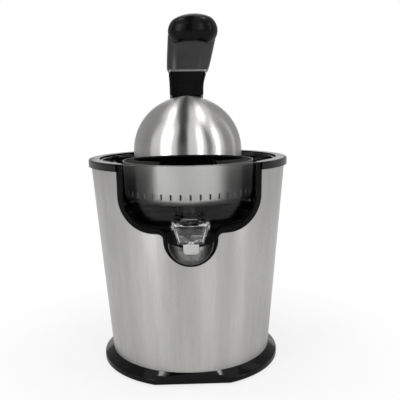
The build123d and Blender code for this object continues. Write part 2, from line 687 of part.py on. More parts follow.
def strainer():
    """Steel basket with a ring of slots pressed through its lower edge."""
    top = STRAINER_TOP_Z
    inner_floor = BOWL_SEAT_Z + STRAINER_WALL
    hub = BOWL_TUBE_RADIUS + FIT
    corner = STRAINER_CORNER_RADIUS
    basket = turned(
        [
            (hub, BOWL_SEAT_Z),
            (STRAINER_RADIUS, BOWL_SEAT_Z),
            (STRAINER_TOP_RADIUS, top - STRAINER_WALL),
            (STRAINER_TOP_RADIUS + STRAINER_RIM, top - STRAINER_WALL),
            (STRAINER_TOP_RADIUS + STRAINER_RIM, top),
            (STRAINER_TOP_RADIUS - STRAINER_WALL, top),
            (STRAINER_RADIUS - STRAINER_WALL, inner_floor),
            (hub, inner_floor),
        ],
        [0, corner, 0, 0, 0, 0, corner - STRAINER_WALL, 0],
    )
    inset = corner * (1 - cos(pi / 4))
    slot = Pos(STRAINER_RADIUS - inset, 0, BOWL_SEAT_Z + inset) * Rot(0, -45, 0)
    slot *= Box(SLOT_LENGTH, SLOT_WIDTH, corner)
    return basket - [Rot(0, 0, 360 * index / SLOT_COUNT) * slot for index in range(SLOT_COUNT)]


def involute(angle):
    return tan(angle) - angle


def gear_face(teeth):
    """Spur gear outline with a tooth on +X. Each flank is an arc through three points of its involute."""
    pitch = GEAR_MODULE * teeth / 2
    base = pitch * cos(PRESSURE_ANGLE)
    root = pitch - GEAR_DEDENDUM * GEAR_MODULE
    tip = pitch + GEAR_ADDENDUM * GEAR_MODULE
    half = pi / (2 * teeth) - GEAR_BACKLASH / (2 * pitch)

    def flank(radius, side):
        turn = half + involute(PRESSURE_ANGLE) - involute(acos(min(1.0, base / radius)))
        return (radius * cos(turn), side * radius * sin(turn))

    sunk = root - GEAR_MODULE / 2
    tooth = make_face(
        [
            Line(flank(sunk, -1), flank(root, -1)),
            ThreePointArc(flank(root, -1), flank(pitch, -1), flank(tip, -1)),
            Line(flank(tip, -1), flank(tip, 1)),
            ThreePointArc(flank(tip, 1), flank(pitch, 1), flank(root, 1)),
            Line(flank(root, 1), flank(sunk, 1)),
            Line(flank(sunk, 1), flank(sunk, -1)),
        ]
    )
    return Circle(root) + [Rot(0, 0, 360 * index / teeth) * tooth for index in range(teeth)]


def drive_section(clearance):
    """Round section with two flats, shared by the spindle, the gear's hub and the cone."""
    flat = SPINDLE_FLAT + clearance
    return Circle(SPINDLE_RADIUS + clearance) & Rectangle(2 * flat, 4 * SPINDLE_RADIUS)


def drive_bar(clearance, low, high):
    return Pos(0, 0, low) * extrude(drive_section(clearance), amount=high - low)


CLIP_TOP_Z = GEAR_PLATE_Z - MOVING_GAP
CLIP_Z = CLIP_TOP_Z - CLIP_THICKNESS
CLIP_SEAT_RADIUS = HUB_JOURNAL_RADIUS - CLIP_GROOVE


def drive_gear():
    """Large gear with a dished web, a hub and a journal that runs in the gear plate's bush."""
    hub_z = GEAR_PLATE_TOP_Z + BUSH_FLANGE_THICKNESS + MOVING_GAP
    gear = Pos(0, 0, GEAR_Z) * extrude(Rot(0, 0, 90) * gear_face(GEAR_TEETH), amount=GEAR_WIDTH)
    rim = GEAR_MODULE * (GEAR_TEETH / 2 - GEAR_DEDENDUM) - GEAR_RIM
    pocket = (GEAR_WIDTH - GEAR_WEB) / 2
    gear -= tube(rim, HUB_RADIUS, GEAR_Z, GEAR_Z + pocket)
    gear -= tube(rim, HUB_RADIUS, GEAR_Z + GEAR_WIDTH - pocket, GEAR_Z + GEAR_WIDTH)
    gear += peg(HUB_RADIUS, hub_z, HUB_TOP_Z)
    gear += peg(HUB_JOURNAL_RADIUS, HUB_BOTTOM_Z, hub_z)
    gear -= tube(HUB_JOURNAL_RADIUS, CLIP_SEAT_RADIUS, CLIP_Z, CLIP_TOP_Z)
    return gear - drive_bar(RUN_CLEARANCE, HUB_BOTTOM_Z, HUB_TOP_Z)


def gear_clip():
    """Open spring clip in the groove of the gear's journal."""
    ring = tube(HUB_JOURNAL_RADIUS + CLIP_WIDTH, CLIP_SEAT_RADIUS + SEAT_GAP, CLIP_Z, CLIP_TOP_Z)
    opening = CLIP_SEAT_RADIUS / 2
    return ring - block(-opening, opening, -2 * HUB_RADIUS, 0, CLIP_Z, CLIP_TOP_Z)


def plate_bush():
    """Flanged bronze bush for the gear's journal."""
    outer = PLATE_BUSH_BORE + BUSH_WALL
    bush = peg(outer - SEAT_GAP, GEAR_PLATE_Z, GEAR_PLATE_TOP_Z)
    bush += peg(outer + BUSH_FLANGE, GEAR_PLATE_TOP_Z, GEAR_PLATE_TOP_Z + BUSH_FLANGE_THICKNESS)
    return bush - peg(PLATE_BUSH_BORE, GEAR_PLATE_Z, HUB_TOP_Z)


def spindle():
    """Output shaft: flats inside the gear's hub, a collar for the spring and flats for the cone."""
    shaft = drive_bar(0, SPINDLE_BOTTOM_Z, COLLAR_Z)
    shaft += peg(COLLAR_RADIUS, COLLAR_Z, COLLAR_TOP_Z)
    shaft += peg(SPINDLE_RADIUS, COLLAR_TOP_Z, TOWER_TOP_Z + SPINDLE_TRAVEL + MOVING_GAP)
    return shaft + drive_bar(0, TOWER_TOP_Z, SPINDLE_TOP_Z)


def return_spring():
    """Coil spring between the gear's hub and the spindle's collar."""
    radius = SPINDLE_RADIUS + SPRING_WIRE_RADIUS + 2 * MOVING_GAP
    low = HUB_TOP_Z + SPRING_WIRE_RADIUS + SEAT_GAP
    height = COLLAR_Z - HUB_TOP_Z - 2 * (SPRING_WIRE_RADIUS + SEAT_GAP)
    path = Helix(height / SPRING_TURNS, height, radius, center=(0, 0, low))
    section = Plane(path @ 0, z_dir=path % 0) * Circle(SPRING_WIRE_RADIUS)
    return sweep(section, path=path)


def spindle_bush():
    """Flanged bush in the tower."""
    bush = peg(TOWER_BORE_RADIUS - SEAT_GAP, TUB_UNDER_Z, TOWER_TOP_Z - SEAL_HEIGHT)
    bush += peg(TOWER_BORE_RADIUS + BUSH_FLANGE, TUB_UNDER_Z - BUSH_FLANGE_THICKNESS, TUB_UNDER_Z)
    return bush - peg(SPINDLE_RADIUS + RUN_CLEARANCE, GEAR_PLATE_Z, TOWER_TOP_Z)


def spindle_seal():
    """Rubber ring at the top of the tower."""
    inner = SPINDLE_RADIUS + SEAL_GAP
    return tube(TOWER_BORE_RADIUS - SEAT_GAP, inner, TOWER_TOP_Z - SEAL_HEIGHT, TOWER_TOP_Z)


def post_places():
    side = GEAR_PLATE_HALF_WIDTH - POST_RADIUS - FIT
    rows = (POST_RADIUS + FIT - GEAR_PLATE_FRONT, GEAR_PLATE_BACK - POST_RADIUS - FIT)
    return [(x, y) for x in (-side, side) for y in rows]


def rod_places():
    """Places of the two rods that run through the motor's yoke."""
    offset = MOTOR_RADIUS - MOTOR_YOKE / 2
    return [(0, CENTRE_DISTANCE - offset), (0, CENTRE_DISTANCE + offset)]


def gear_plate():
    """Steel plate that carries the gear's bush and the motor."""
    centre_y = (GEAR_PLATE_BACK - GEAR_PLATE_FRONT) / 2
    face = RectangleRounded(2 * GEAR_PLATE_HALF_WIDTH, GEAR_PLATE_FRONT + GEAR_PLATE_BACK, POST_RADIUS)
    face = Pos(0, centre_y) * face - Circle(PLATE_BUSH_BORE + BUSH_WALL)
    face -= Pos(0, CENTRE_DISTANCE) * Circle(BEARING_RADIUS)
    for x, y in post_places():
        face -= Pos(x, y) * Circle(SCREW_HOLE_RADIUS)
    for x, y in rod_places():
        face -= Pos(x, y) * Circle(MOTOR_ROD_RADIUS + FIT)
    return Pos(0, 0, GEAR_PLATE_Z) * extrude(face, amount=GEAR_PLATE_THICKNESS)


def gear_plate_posts():
    """Posts that hang the gear plate under the tub's deck."""
    return gathered(
        [
            peg(POST_RADIUS, GEAR_PLATE_TOP_Z, TUB_UNDER_Z, x, y)
            - peg(SCREW_HOLE_RADIUS, GEAR_PLATE_TOP_Z, GEAR_PLATE_TOP_Z + POST_HOLE_DEPTH, x, y)
            for x, y in post_places()
        ]
    )


def gear_plate_screws():
    length = GEAR_PLATE_THICKNESS + POST_SCREW_REACH
    return gathered([screw(GEAR_PLATE_Z, length, x, y) for x, y in post_places()])


SHOE_RADIUS = ROTOR_RADIUS + ROTOR_GAP + MOTOR_SHOE_THICKNESS
YOKE_INNER_RADIUS = MOTOR_RADIUS - MOTOR_YOKE
POLE_SPREAD = 2 * ROTOR_RADIUS * sin(radians(MOTOR_SHOE_TURN))


def at_motor(shape):
    return Pos(0, CENTRE_DISTANCE, 0) * shape


def motor_core():
    """Laminated field stack: a yoke with two poles and their shoes."""
    shoes = Circle(SHOE_RADIUS) & Rectangle(2 * SHOE_RADIUS, POLE_SPREAD)
    poles = Rectangle(2 * MOTOR_RADIUS - MOTOR_YOKE, 2 * MOTOR_POLE_HALF_WIDTH)
    face = Circle(MOTOR_RADIUS) - Circle(YOKE_INNER_RADIUS) + poles + shoes
    face -= Circle(ROTOR_RADIUS + ROTOR_GAP)
    for x, y in rod_places():
        face -= Pos(x, y - CENTRE_DISTANCE) * Circle(MOTOR_ROD_SHANK + FIT)
    return at_motor(Pos(0, 0, MOTOR_Z) * extrude(face, amount=MOTOR_STACK_HEIGHT))


def motor_coils():
    """Two field coils, each a loop round its pole's neck."""
    low, high = MOTOR_Z - COIL_OVERHANG, MOTOR_TOP_Z + COIL_OVERHANG
    half = MOTOR_POLE_HALF_WIDTH
    loop = tube(YOKE_INNER_RADIUS - MOVING_GAP, SHOE_RADIUS + MOVING_GAP, low, high)
    loop -= block(-MOTOR_RADIUS, MOTOR_RADIUS, -half - FIT, half + FIT, MOTOR_Z - FIT, MOTOR_TOP_Z + FIT)
    reach = half + COIL_THICKNESS
    right = loop & block(0, MOTOR_RADIUS, -reach, reach, low, high)
    left = loop & block(-MOTOR_RADIUS, 0, -reach, reach, low, high)
    return gathered([at_motor(right), at_motor(left)])


def motor_rotor():
    """Slotted armature on its shaft, with the commutator below."""
    face = Circle(ROTOR_RADIUS)
    slot_x = ROTOR_RADIUS - ROTOR_SLOT_DEPTH / 2
    slot = Pos(slot_x, 0) * Rectangle(ROTOR_SLOT_DEPTH, ROTOR_SLOT_WIDTH)
    face -= [Rot(0, 0, 360 * index / ROTOR_SLOTS) * slot for index in range(ROTOR_SLOTS)]
    rotor = Pos(0, 0, MOTOR_Z) * extrude(face, amount=MOTOR_STACK_HEIGHT)
    rotor += peg(MOTOR_SHAFT_RADIUS, MOTOR_END_Z - BRACKET_THICKNESS, PINION_Z + PINION_WIDTH)
    rotor += peg(COMMUTATOR_RADIUS, COMMUTATOR_Z, COMMUTATOR_Z + COMMUTATOR_HEIGHT)
    return at_motor(rotor)


def armature_winding():
    """End turns of the armature, above and below its core."""
    outer = ROTOR_RADIUS - ROTOR_SLOT_DEPTH / 2
    inner = MOTOR_SHAFT_RADIUS + SEAT_GAP
    upper = tube(outer, inner, MOTOR_TOP_Z, MOTOR_TOP_Z + COIL_OVERHANG)
    lower = tube(outer, inner, MOTOR_Z - COIL_OVERHANG, MOTOR_Z)
    return gathered([at_motor(upper), at_motor(lower)])


def drive_pinion():
    """Small gear on the motor's shaft, with a gap facing the large gear's tooth."""
    turn = Rot(0, 0, -90 + 180 / PINION_TEETH)
    pinion = Pos(0, 0, PINION_Z) * extrude(turn * gear_face(PINION_TEETH), amount=PINION_WIDTH)
    return at_motor(pinion - peg(MOTOR_SHAFT_RADIUS + SEAT_GAP, PINION_Z, PINION_Z + PINION_WIDTH))


def motor_bracket(low):
    """End bracket of the motor, with its bearing seat."""
    face = RectangleRounded(2 * BRACKET_HALF_WIDTH, 2 * MOTOR_RADIUS, BRACKET_HALF_WIDTH / 2)
    face -= Circle(BEARING_RADIUS + SEAT_GAP)
    for x, y in rod_places():
        face -= Pos(x, y - CENTRE_DISTANCE) * Circle(MOTOR_ROD_SHANK + FIT)
    return at_motor(Pos(0, 0, low) * extrude(face, amount=BRACKET_THICKNESS))


def motor_brackets():
    return gathered([motor_bracket(level - BRACKET_THICKNESS) for level in (GEAR_PLATE_Z, MOTOR_END_Z)])


def motor_bearings():
    bore = MOTOR_SHAFT_RADIUS + RUN_CLEARANCE
    upper = tube(BEARING_RADIUS, bore, GEAR_PLATE_Z - BEARING_HEIGHT, GEAR_PLATE_Z)
    low = MOTOR_END_Z - BRACKET_THICKNESS
    return gathered([at_motor(upper), at_motor(tube(BEARING_RADIUS, bore, low, low + BEARING_HEIGHT))])


def motor_rods():
    """Two long bolts that clamp brackets, spacers and field stack under the gear plate."""
    low = MOTOR_END_Z - BRACKET_THICKNESS
    return gathered(
        [
            peg(MOTOR_ROD_SHANK, low, GEAR_PLATE_TOP_Z, x, y)
            + peg(MOTOR_ROD_RADIUS, low - MOTOR_ROD_RADIUS, low, x, y)
            for x, y in rod_places()
        ]
    )


def motor_spacers():
    """Sleeves on the rods, above and below the field stack."""
    outer, inner = MOTOR_ROD_RADIUS, MOTOR_ROD_SHANK + FIT
    levels = [(MOTOR_END_Z, MOTOR_Z), (MOTOR_TOP_Z, GEAR_PLATE_Z - BRACKET_THICKNESS)]
    return gathered([tube(outer, inner, low, high, x, y) for x, y in rod_places() for low, high in levels])


def carbon_brushes():
    """Brush boxes on the lower bracket, one each side of the commutator."""
    inner = COMMUTATOR_RADIUS + MOVING_GAP
    high = MOTOR_Z - COIL_OVERHANG - MOVING_GAP
    box = block(-BRUSH_WIDTH / 2, BRUSH_WIDTH / 2, inner, inner + BRUSH_LENGTH, MOTOR_END_Z, high)
    return gathered([at_motor(box), at_motor(Rot(0, 0, 180) * box)])


def microswitch():
    """Snap switch body with a bore for its plunger and two cross holes."""
    half, side = SWITCH_LENGTH / 2, SWITCH_WIDTH / 2
    body = block(-half, half, -side, side, SWITCH_Z, SWITCH_TOP_Z)
    depth = PLUNGER_REACH + SPINDLE_TRAVEL + MOVING_GAP
    body -= peg(PLUNGER_RADIUS + RUN_CLEARANCE, SWITCH_TOP_Z - depth, SWITCH_TOP_Z)
    hole_x = half - SWITCH_HOLE_INSET
    for x in (-hole_x, hole_x):
        body -= bar(SCREW_HOLE_RADIUS, -side, side, SWITCH_Z + SWITCH_HOLE_INSET, x)
    return body


def switch_terminals():
    """Three flat tabs at the switch's end."""
    start, half = -SWITCH_LENGTH / 2, TERMINAL_WIDTH / 2
    middle = (SWITCH_Z + SWITCH_TOP_Z - TERMINAL_THICKNESS) / 2
    lows = [middle + (index - (TERMINAL_COUNT - 1) / 2) * TERMINAL_PITCH for index in range(TERMINAL_COUNT)]
    thick = TERMINAL_THICKNESS
    return gathered([block(start - TERMINAL_LENGTH, start, -half, half, z, z + thick) for z in lows])


def switch_plunger():
    return peg(PLUNGER_RADIUS, SWITCH_TOP_Z - PLUNGER_REACH, PLUNGER_TOP_Z)


def switch_bracket():
    """Folded steel strip that hangs the switch below the spindle."""
    near = HUB_JOURNAL_RADIUS + CLIP_WIDTH + 2 * MOVING_GAP
    far = near + SWITCH_PLATE_THICKNESS
    half = SWITCH_PLATE_WIDTH / 2
    low = SWITCH_Z - SWITCH_PLATE_THICKNESS
    strip = block(-half, half, -far, -near, low, GEAR_PLATE_Z)
    strip += block(-half, half, -far, SWITCH_WIDTH / 2, low, SWITCH_Z)
    return strip + block(-half, half, -2 * far, -near, GEAR_PLATE_Z - SWITCH_PLATE_THICKNESS, GEAR_PLATE_Z)


def cone_profile(grow):
    """Half outline of the reamer: an upright rim, then one arc to the point."""
    low = CONE_BOTTOM_Z
    shoulder = low + CONE_RIM_HEIGHT
    top = low + CONE_HEIGHT + grow / 2
    radius = CONE_RADIUS + grow
    middle = (CONE_BELLY * radius, shoulder + CONE_BELLY * (top - shoulder))
    return make_face(
        [
            Line((0, low), (radius, low)),
            Line((radius, low), (radius, shoulder)),
            ThreePointArc((radius, shoulder), middle, (0, top)),
            Line((0, top), (0, low)),
        ]
    )


def reaming_cone():
    """Ribbed reamer with a cavity over the bowl's tube and a keyed socket for the spindle."""
    cone = revolve(Plane.XZ * cone_profile(0), Axis.Z)
    grown = revolve(Plane.XZ * cone_profile(CONE_RIB_HEIGHT), Axis.Z)
    half = CONE_RIB_WIDTH / 2
    rib = grown & block(0, 2 * CONE_RADIUS, -half, half, CONE_BOTTOM_Z, CONE_BOTTOM_Z + 2 * CONE_HEIGHT)
    cone += [Rot(0, 0, 360 * index / CONE_RIB_COUNT) * rib for index in range(CONE_RIB_COUNT)]
    ceiling = BOWL_TUBE_TOP_Z + SPINDLE_TRAVEL + 2 * MOVING_GAP
    cone -= peg(BOWL_TUBE_RADIUS + CONE_WALL, CONE_BOTTOM_Z, ceiling)
    return cone - drive_bar(SEAT_GAP, ceiling, SPINDLE_TOP_Z)


def spout_loft(wall, low, high):
    """Tapered spout body, drawn in by a wall, between two heights."""
    def section(z):
        share = (SPOUT_TOP_Z - z) / (SPOUT_TOP_Z - SPOUT_MOUTH_Z)
        half = SPOUT_TOP_HALF_WIDTH + share * (SPOUT_MOUTH_HALF_WIDTH - SPOUT_TOP_HALF_WIDTH) - wall
        front = SPOUT_FRONT_Y + share * (SPOUT_MOUTH_FRONT_Y - SPOUT_FRONT_Y) + wall
        back = SPOUT_BACK_Y + share * (SPOUT_MOUTH_BACK_Y - SPOUT_BACK_Y) - wall
        return Pos(0, (front + back) / 2, z) * RectangleRounded(2 * half, back - front, SPOUT_CORNER - wall)

    return loft([section(low), section(high)])


def flip_spout():
    """Clear tilting spout with two ears on the bowl's pins and an arched mouth."""
    floor = SPOUT_MOUTH_Z + SPOUT_WALL
    spout = spout_loft(0, SPOUT_MOUTH_Z, SPOUT_TOP_Z) - spout_loft(SPOUT_WALL, floor, SPOUT_TOP_Z)
    half = SPIGOT_HALF_WIDTH + 2 * MOVING_GAP
    back_y, back_top = SPOUT_MOUTH_BACK_Y - SPOUT_WALL, BOWL_FLOOR_Z - SPOUT_BACK_DROP
    spout -= block(-half, half, back_y, 0, back_top, SPOUT_TOP_Z)
    for side in (-1, 1):
        near, far = sorted((side * SPOUT_TOP_HALF_WIDTH, side * (SPOUT_TOP_HALF_WIDTH - SPOUT_EAR_THICKNESS)))
        spout += rod(SPOUT_EAR_RADIUS, near, far, SPOUT_PIVOT_Y, SPOUT_PIVOT_Z)
        ear_low, ear_high = SPOUT_PIVOT_Z - SPOUT_EAR_RADIUS, SPOUT_TOP_Z
        spout += block(near, far, SPOUT_BACK_Y - SPOUT_WALL, SPOUT_PIVOT_Y, ear_low, ear_high)
    spout -= rod(SPOUT_PIN_RADIUS + RUN_CLEARANCE, -RING_RADIUS, RING_RADIUS, SPOUT_PIVOT_Y, SPOUT_PIVOT_Z)
    spout -= bar(SPOUT_NOTCH_RADIUS, 2 * SPOUT_FRONT_Y, SPOUT_MOUTH_FRONT_Y + SPOUT_WALL, SPOUT_MOUTH_Z)
    return spout - peg(TIP_NECK_RADIUS + SEAT_GAP, SPOUT_MOUTH_Z, floor, 0, TIP_Y)


def spout_tip():
    """Soft white outlet pushed through the spout's floor."""
    low = SPOUT_MOUTH_Z - TIP_HEIGHT
    front, back = TIP_Y - TIP_HALF_DEPTH, TIP_Y + TIP_HALF_DEPTH
    body = block(-TIP_HALF_WIDTH, TIP_HALF_WIDTH, front, back, low, SPOUT_MOUTH_Z)
    body = fillet(body.edges().filter_by(Axis.Z), TIP_ROUND)
    body = fillet(body.faces().sort_by(Axis.Z)[0].edges(), TIP_ROUND - EDGE_ROUND)
    floor = SPOUT_MOUTH_Z + SPOUT_WALL
    body += peg(TIP_NECK_RADIUS, SPOUT_MOUTH_Z, floor, 0, TIP_Y)
    body += peg(TIP_NECK_RADIUS + EDGE_ROUND, floor, floor + EDGE_ROUND, 0, TIP_Y)
    return body - peg(TIP_BORE_RADIUS, low, floor + EDGE_ROUND, 0, TIP_Y)


def spout_pins():
    """Two pins in the bowl's spigot that the spout turns on."""
    start, end = SPIGOT_HALF_WIDTH - BOWL_WALL, SPOUT_TOP_HALF_WIDTH + EDGE_ROUND
    right = rod(SPOUT_PIN_RADIUS, start, end, SPOUT_PIVOT_Y, SPOUT_PIVOT_Z)
    return gathered([right, rod(SPOUT_PIN_RADIUS, -end, -start, SPOUT_PIVOT_Y, SPOUT_PIVOT_Z)])


def dome_shell(radius, wall, skirt):
    """Half sphere with a short straight skirt, open below, about the origin."""
    inner = radius - wall
    diagonal = sqrt(0.5)
    face = make_face(
        [
            ThreePointArc((0, radius), (radius * diagonal, radius * diagonal), (radius, 0)),
            Polyline((radius, 0), (radius, -skirt), (inner, -skirt), (inner, 0)),
            ThreePointArc((inner, 0), (inner * diagonal, inner * diagonal), (0, inner)),
            Line((0, inner), (0, radius)),
        ]
    )
    return revolve(Plane.XZ * face, Axis.Z)


def at_dome(shape):
    """Places a piece of the dome, tilted front up as the arm rests."""
    return Pos(0, 0, DOME_CENTRE_Z) * Rot(-DOME_TILT, 0, 0) * shape


def boss_bar(radius, start, end):
    """Round bar on the boss axis, which leans back from the dome's centre."""
    body = Cylinder(radius, end - start, align=(Align.CENTER, Align.CENTER, Align.MIN))
    return Pos(0, 0, DOME_CENTRE_Z) * Rot(-BOSS_LEAN, 0, 0) * Pos(0, 0, start) * body


LINER_RADIUS = DOME_RADIUS - DOME_WALL - FIT
LINER_INNER_RADIUS = LINER_RADIUS - LINER_WALL


def press_dome():
    dome = at_dome(dome_shell(DOME_RADIUS, DOME_WALL, DOME_SKIRT))
    return dome - boss_bar(DOME_SCREW_RADIUS + FIT, 0, 2 * DOME_RADIUS)


def dome_liner():
    """Black press cup inside the steel dome, with a rim under the dome's edge."""
    cup = dome_shell(LINER_RADIUS, LINER_WALL, DOME_SKIRT + LINER_RIM)
    cup += tube(DOME_RADIUS, LINER_INNER_RADIUS, -DOME_SKIRT - LINER_RIM, -DOME_SKIRT)
    return at_dome(cup) - boss_bar(DOME_SCREW_RADIUS + FIT, 0, 2 * DOME_RADIUS)


def dome_screw():
    """Screw from inside the cup into the arm's boss."""
    seat = sqrt(LINER_INNER_RADIUS**2 - DOME_SCREW_HEAD**2) - SEAT_GAP
    head = boss_bar(DOME_SCREW_HEAD, seat - DOME_SCREW_RADIUS, seat)
    return head + boss_bar(DOME_SCREW_RADIUS, seat, ARM_INNER_RADIUS + ARM_DEPTH / 2)


def arm_side_face():
    """Side outline of the arm: knuckle, link, band round the dome and column."""
    low = RING_TOP_Z + BRACKET_FLOOR + MOVING_GAP
    centre = Pos(0, DOME_CENTRE_Z)
    reach = 2 * COLUMN_HEIGHT
    quarter = Pos(COLUMN_FRONT_Y, low) * Rectangle(reach, reach, align=(Align.MIN, Align.MIN))
    band = (centre * Circle(ARM_OUTER_RADIUS)) & quarter
    link_top = HINGE_Z + KNUCKLE_RADIUS
    link = Rectangle(HINGE_Y - ARM_INNER_RADIUS, link_top - low, align=(Align.MIN, Align.MIN))
    link = Pos(ARM_INNER_RADIUS, low) * link
    knuckle = Pos(HINGE_Y, HINGE_Z) * Circle(KNUCKLE_RADIUS)
    column = Rectangle(COLUMN_DEPTH, COLUMN_HEIGHT, align=(Align.CENTER, Align.MIN))
    column = Pos(COLUMN_Y, DOME_CENTRE_Z) * column
    face = band + link + knuckle + column - centre * Circle(ARM_INNER_RADIUS)
    column_root = (COLUMN_BACK_Y, DOME_CENTRE_Z + sqrt(ARM_OUTER_RADIUS**2 - COLUMN_BACK_Y**2))
    link_root = (sqrt(ARM_OUTER_RADIUS**2 - (link_top - DOME_CENTRE_Z) ** 2), link_top)
    roots = (column_root, link_root)
    corners = [v for v in face.vertices() if min(hypot(v.X - y, v.Y - z) for y, z in roots) < FIT]
    return Plane.YZ * fillet(corners, ARM_ROOT_RADIUS)


def arm_front_face():
    """Front outline of the arm: straight sides that flare to the trim ring, more on the right."""
    right, left = ARM_HALF_WIDTH, -ARM_HALF_WIDTH
    top_right, top_left = right + COLUMN_FLARE_RIGHT, left - COLUMN_FLARE_LEFT
    low = SHELL_TOP_Z
    return Plane.XZ * make_face(
        [
            Polyline((left, COLUMN_FLARE_Z), (left, low), (right, low), (right, COLUMN_FLARE_Z)),
            TangentArc((right, COLUMN_FLARE_Z), (top_right, COLUMN_TOP_Z), tangent=(0, 1)),
            Line((top_right, COLUMN_TOP_Z), (top_left, COLUMN_TOP_Z)),
            TangentArc((left, COLUMN_FLARE_Z), (top_left, COLUMN_TOP_Z), tangent=(0, 1)),
        ]
    )


def press_arm():
    """Lever that carries the dome: hinge knuckle, curved band, boss and column."""
    side = extrude(arm_side_face(), amount=2 * ARM_HALF_WIDTH, both=True)
    arm = side & extrude(arm_front_face(), amount=2 * RING_RADIUS, both=True)
    flanks = arm.faces().filter_by(lambda face: abs(face.normal_at().X) > sqrt(0.5))
    arm = fillet(flanks.edges(), ARM_EDGE_RADIUS)
    arm += boss_bar(BOSS_RADIUS, LINER_RADIUS, ARM_INNER_RADIUS + DOME_WALL)
    arm -= Pos(0, 0, DOME_CENTRE_Z) * Sphere(DOME_RADIUS + SEAT_GAP)
    arm -= boss_bar(DOME_SCREW_RADIUS + SEAT_GAP, 0, ARM_INNER_RADIUS + ARM_DEPTH / 2)
    arm -= rod(HINGE_PIN_RADIUS + RUN_CLEARANCE, -RING_RADIUS, RING_RADIUS, HINGE_Y, HINGE_Z)
    panel_top = COLUMN_TOP_Z - PANEL_DROP
    arm -= block(-PANEL_HALF_WIDTH, PANEL_HALF_WIDTH, 0, COLUMN_FRONT_Y + PANEL_DEPTH, SHELL_TOP_Z, panel_top)
    for turn in COVER_SCREW_TURNS:
        arm -= cover_bar(SCREW_HOLE_RADIUS, turn, ARM_OUTER_RADIUS - ARM_DEPTH / 2, 2 * ARM_OUTER_RADIUS)
    return arm


COVER_SCREW_TURNS = (COVER_LOW_TURN + COVER_SCREW_INSET, COVER_HIGH_TURN - COVER_SCREW_INSET)


def cover_bar(radius, turn, start, end):
    """Round bar that points out from the dome's centre, raised by a turn from the rear."""
    body = Cylinder(radius, end - start, align=(Align.CENTER, Align.CENTER, Align.MIN))
    return Pos(0, 0, DOME_CENTRE_Z) * Rot(turn - 90, 0, 0) * Pos(0, 0, start) * body


def arm_cover():
    """Curved strip on the back of the arm."""
    inner = ARM_OUTER_RADIUS + SEAT_GAP
    far = 2 * ARM_OUTER_RADIUS
    low, high = radians(COVER_LOW_TURN), radians(COVER_HIGH_TURN)
    ends = [(far * cos(turn), far * sin(turn)) for turn in (low, high)]
    wedge = make_face(Polyline((0, 0), *ends, close=True))
    ring = Circle(inner + COVER_THICKNESS) - Circle(inner)
    face = Plane.YZ * (Pos(0, DOME_CENTRE_Z) * (ring & wedge))
    cover = extrude(face, amount=COVER_HALF_WIDTH, both=True)
    for turn in COVER_SCREW_TURNS:
        cover -= cover_bar(SCREW_HOLE_RADIUS, turn, 0, far)
    return cover


def arm_screws():
    """Two screws that hold the cover to the arm."""
    seat = ARM_OUTER_RADIUS + SEAT_GAP + COVER_THICKNESS
    return gathered(
        [
            cover_bar(SCREW_SHANK_RADIUS, turn, ARM_OUTER_RADIUS - ARM_DEPTH / 2, seat)
            + cover_bar(SCREW_HEAD_RADIUS, turn, seat + SEAT_GAP, seat + SCREW_HEAD_HEIGHT)
            + cover_bar(SCREW_SHANK_RADIUS, turn, seat, seat + SCREW_HEAD_HEIGHT)
            for turn in COVER_SCREW_TURNS
        ]
    )


def hinge_screw_bars(radius, start, end):
    places = [(x, z) for x in (-HINGE_SCREW_X, HINGE_SCREW_X) for z in HINGE_SCREW_LEVELS]
    return [bar(radius, start, end, z, x) for x, z in places]


HINGE_SCREW_LEVELS = (BRACKET_LOW_Z + HINGE_SCREW_INSET, SHELL_TOP_Z - HINGE_SCREW_INSET)
HINGE_SCREW_EDGE = HINGE_SCREW_X + SCREW_HEAD_RADIUS
HINGE_SCREW_SEAT = sqrt((shell_radius(BRACKET_LOW_Z) - SHELL_WALL) ** 2 - HINGE_SCREW_EDGE**2)


def hinge_bracket():
    """Moulded bracket on the rear of the shell and ring, with two cheeks for the hinge pin."""
    top = HINGE_Z
    front = RING_INNER_RADIUS + EDGE_ROUND
    face = Pos((front + BRACKET_REAR_Y) / 2, (BRACKET_LOW_Z + top) / 2)
    face *= Rectangle(BRACKET_REAR_Y - front, top - BRACKET_LOW_Z)
    face += Pos(HINGE_Y, HINGE_Z) * Circle(KNUCKLE_RADIUS)
    bracket = extrude(Plane.YZ * face, amount=BRACKET_HALF, both=True)
    rear = bracket.edges().filter_by(Axis.Z).group_by(Axis.Y)[-1]
    bracket = fillet(rear, BRACKET_ROUND)
    bracket -= cone_body(SEAT_GAP, SHELL_BOTTOM_Z, SHELL_TOP_Z)
    bracket -= peg(RING_RADIUS + SEAT_GAP, SHELL_TOP_Z, RING_TOP_Z)
    slot = ARM_HALF_WIDTH + HINGE_GAP
    bracket -= block(-slot, slot, 0, 2 * HINGE_Y, RING_TOP_Z + BRACKET_FLOOR, 2 * HINGE_Z)
    bracket -= rod(HINGE_PIN_RADIUS + SEAT_GAP, -RING_RADIUS, RING_RADIUS, HINGE_Y, HINGE_Z)
    return bracket - hinge_screw_bars(SCREW_HOLE_RADIUS, 0, HINGE_SCREW_SEAT + HINGE_SCREW_LENGTH)


def hinge_pin():
    return rod(HINGE_PIN_RADIUS, -BRACKET_HALF, BRACKET_HALF, HINGE_Y, HINGE_Z)


def hinge_screws():
    """Screws from inside the shell into the bracket's apron."""
    shanks = hinge_screw_bars(SCREW_SHANK_RADIUS, HINGE_SCREW_SEAT, HINGE_SCREW_SEAT + HINGE_SCREW_LENGTH)
    heads = hinge_screw_bars(SCREW_HEAD_RADIUS, HINGE_SCREW_SEAT - SCREW_HEAD_HEIGHT, HINGE_SCREW_SEAT)
    return gathered([shank + head for shank, head in zip(shanks, heads)])


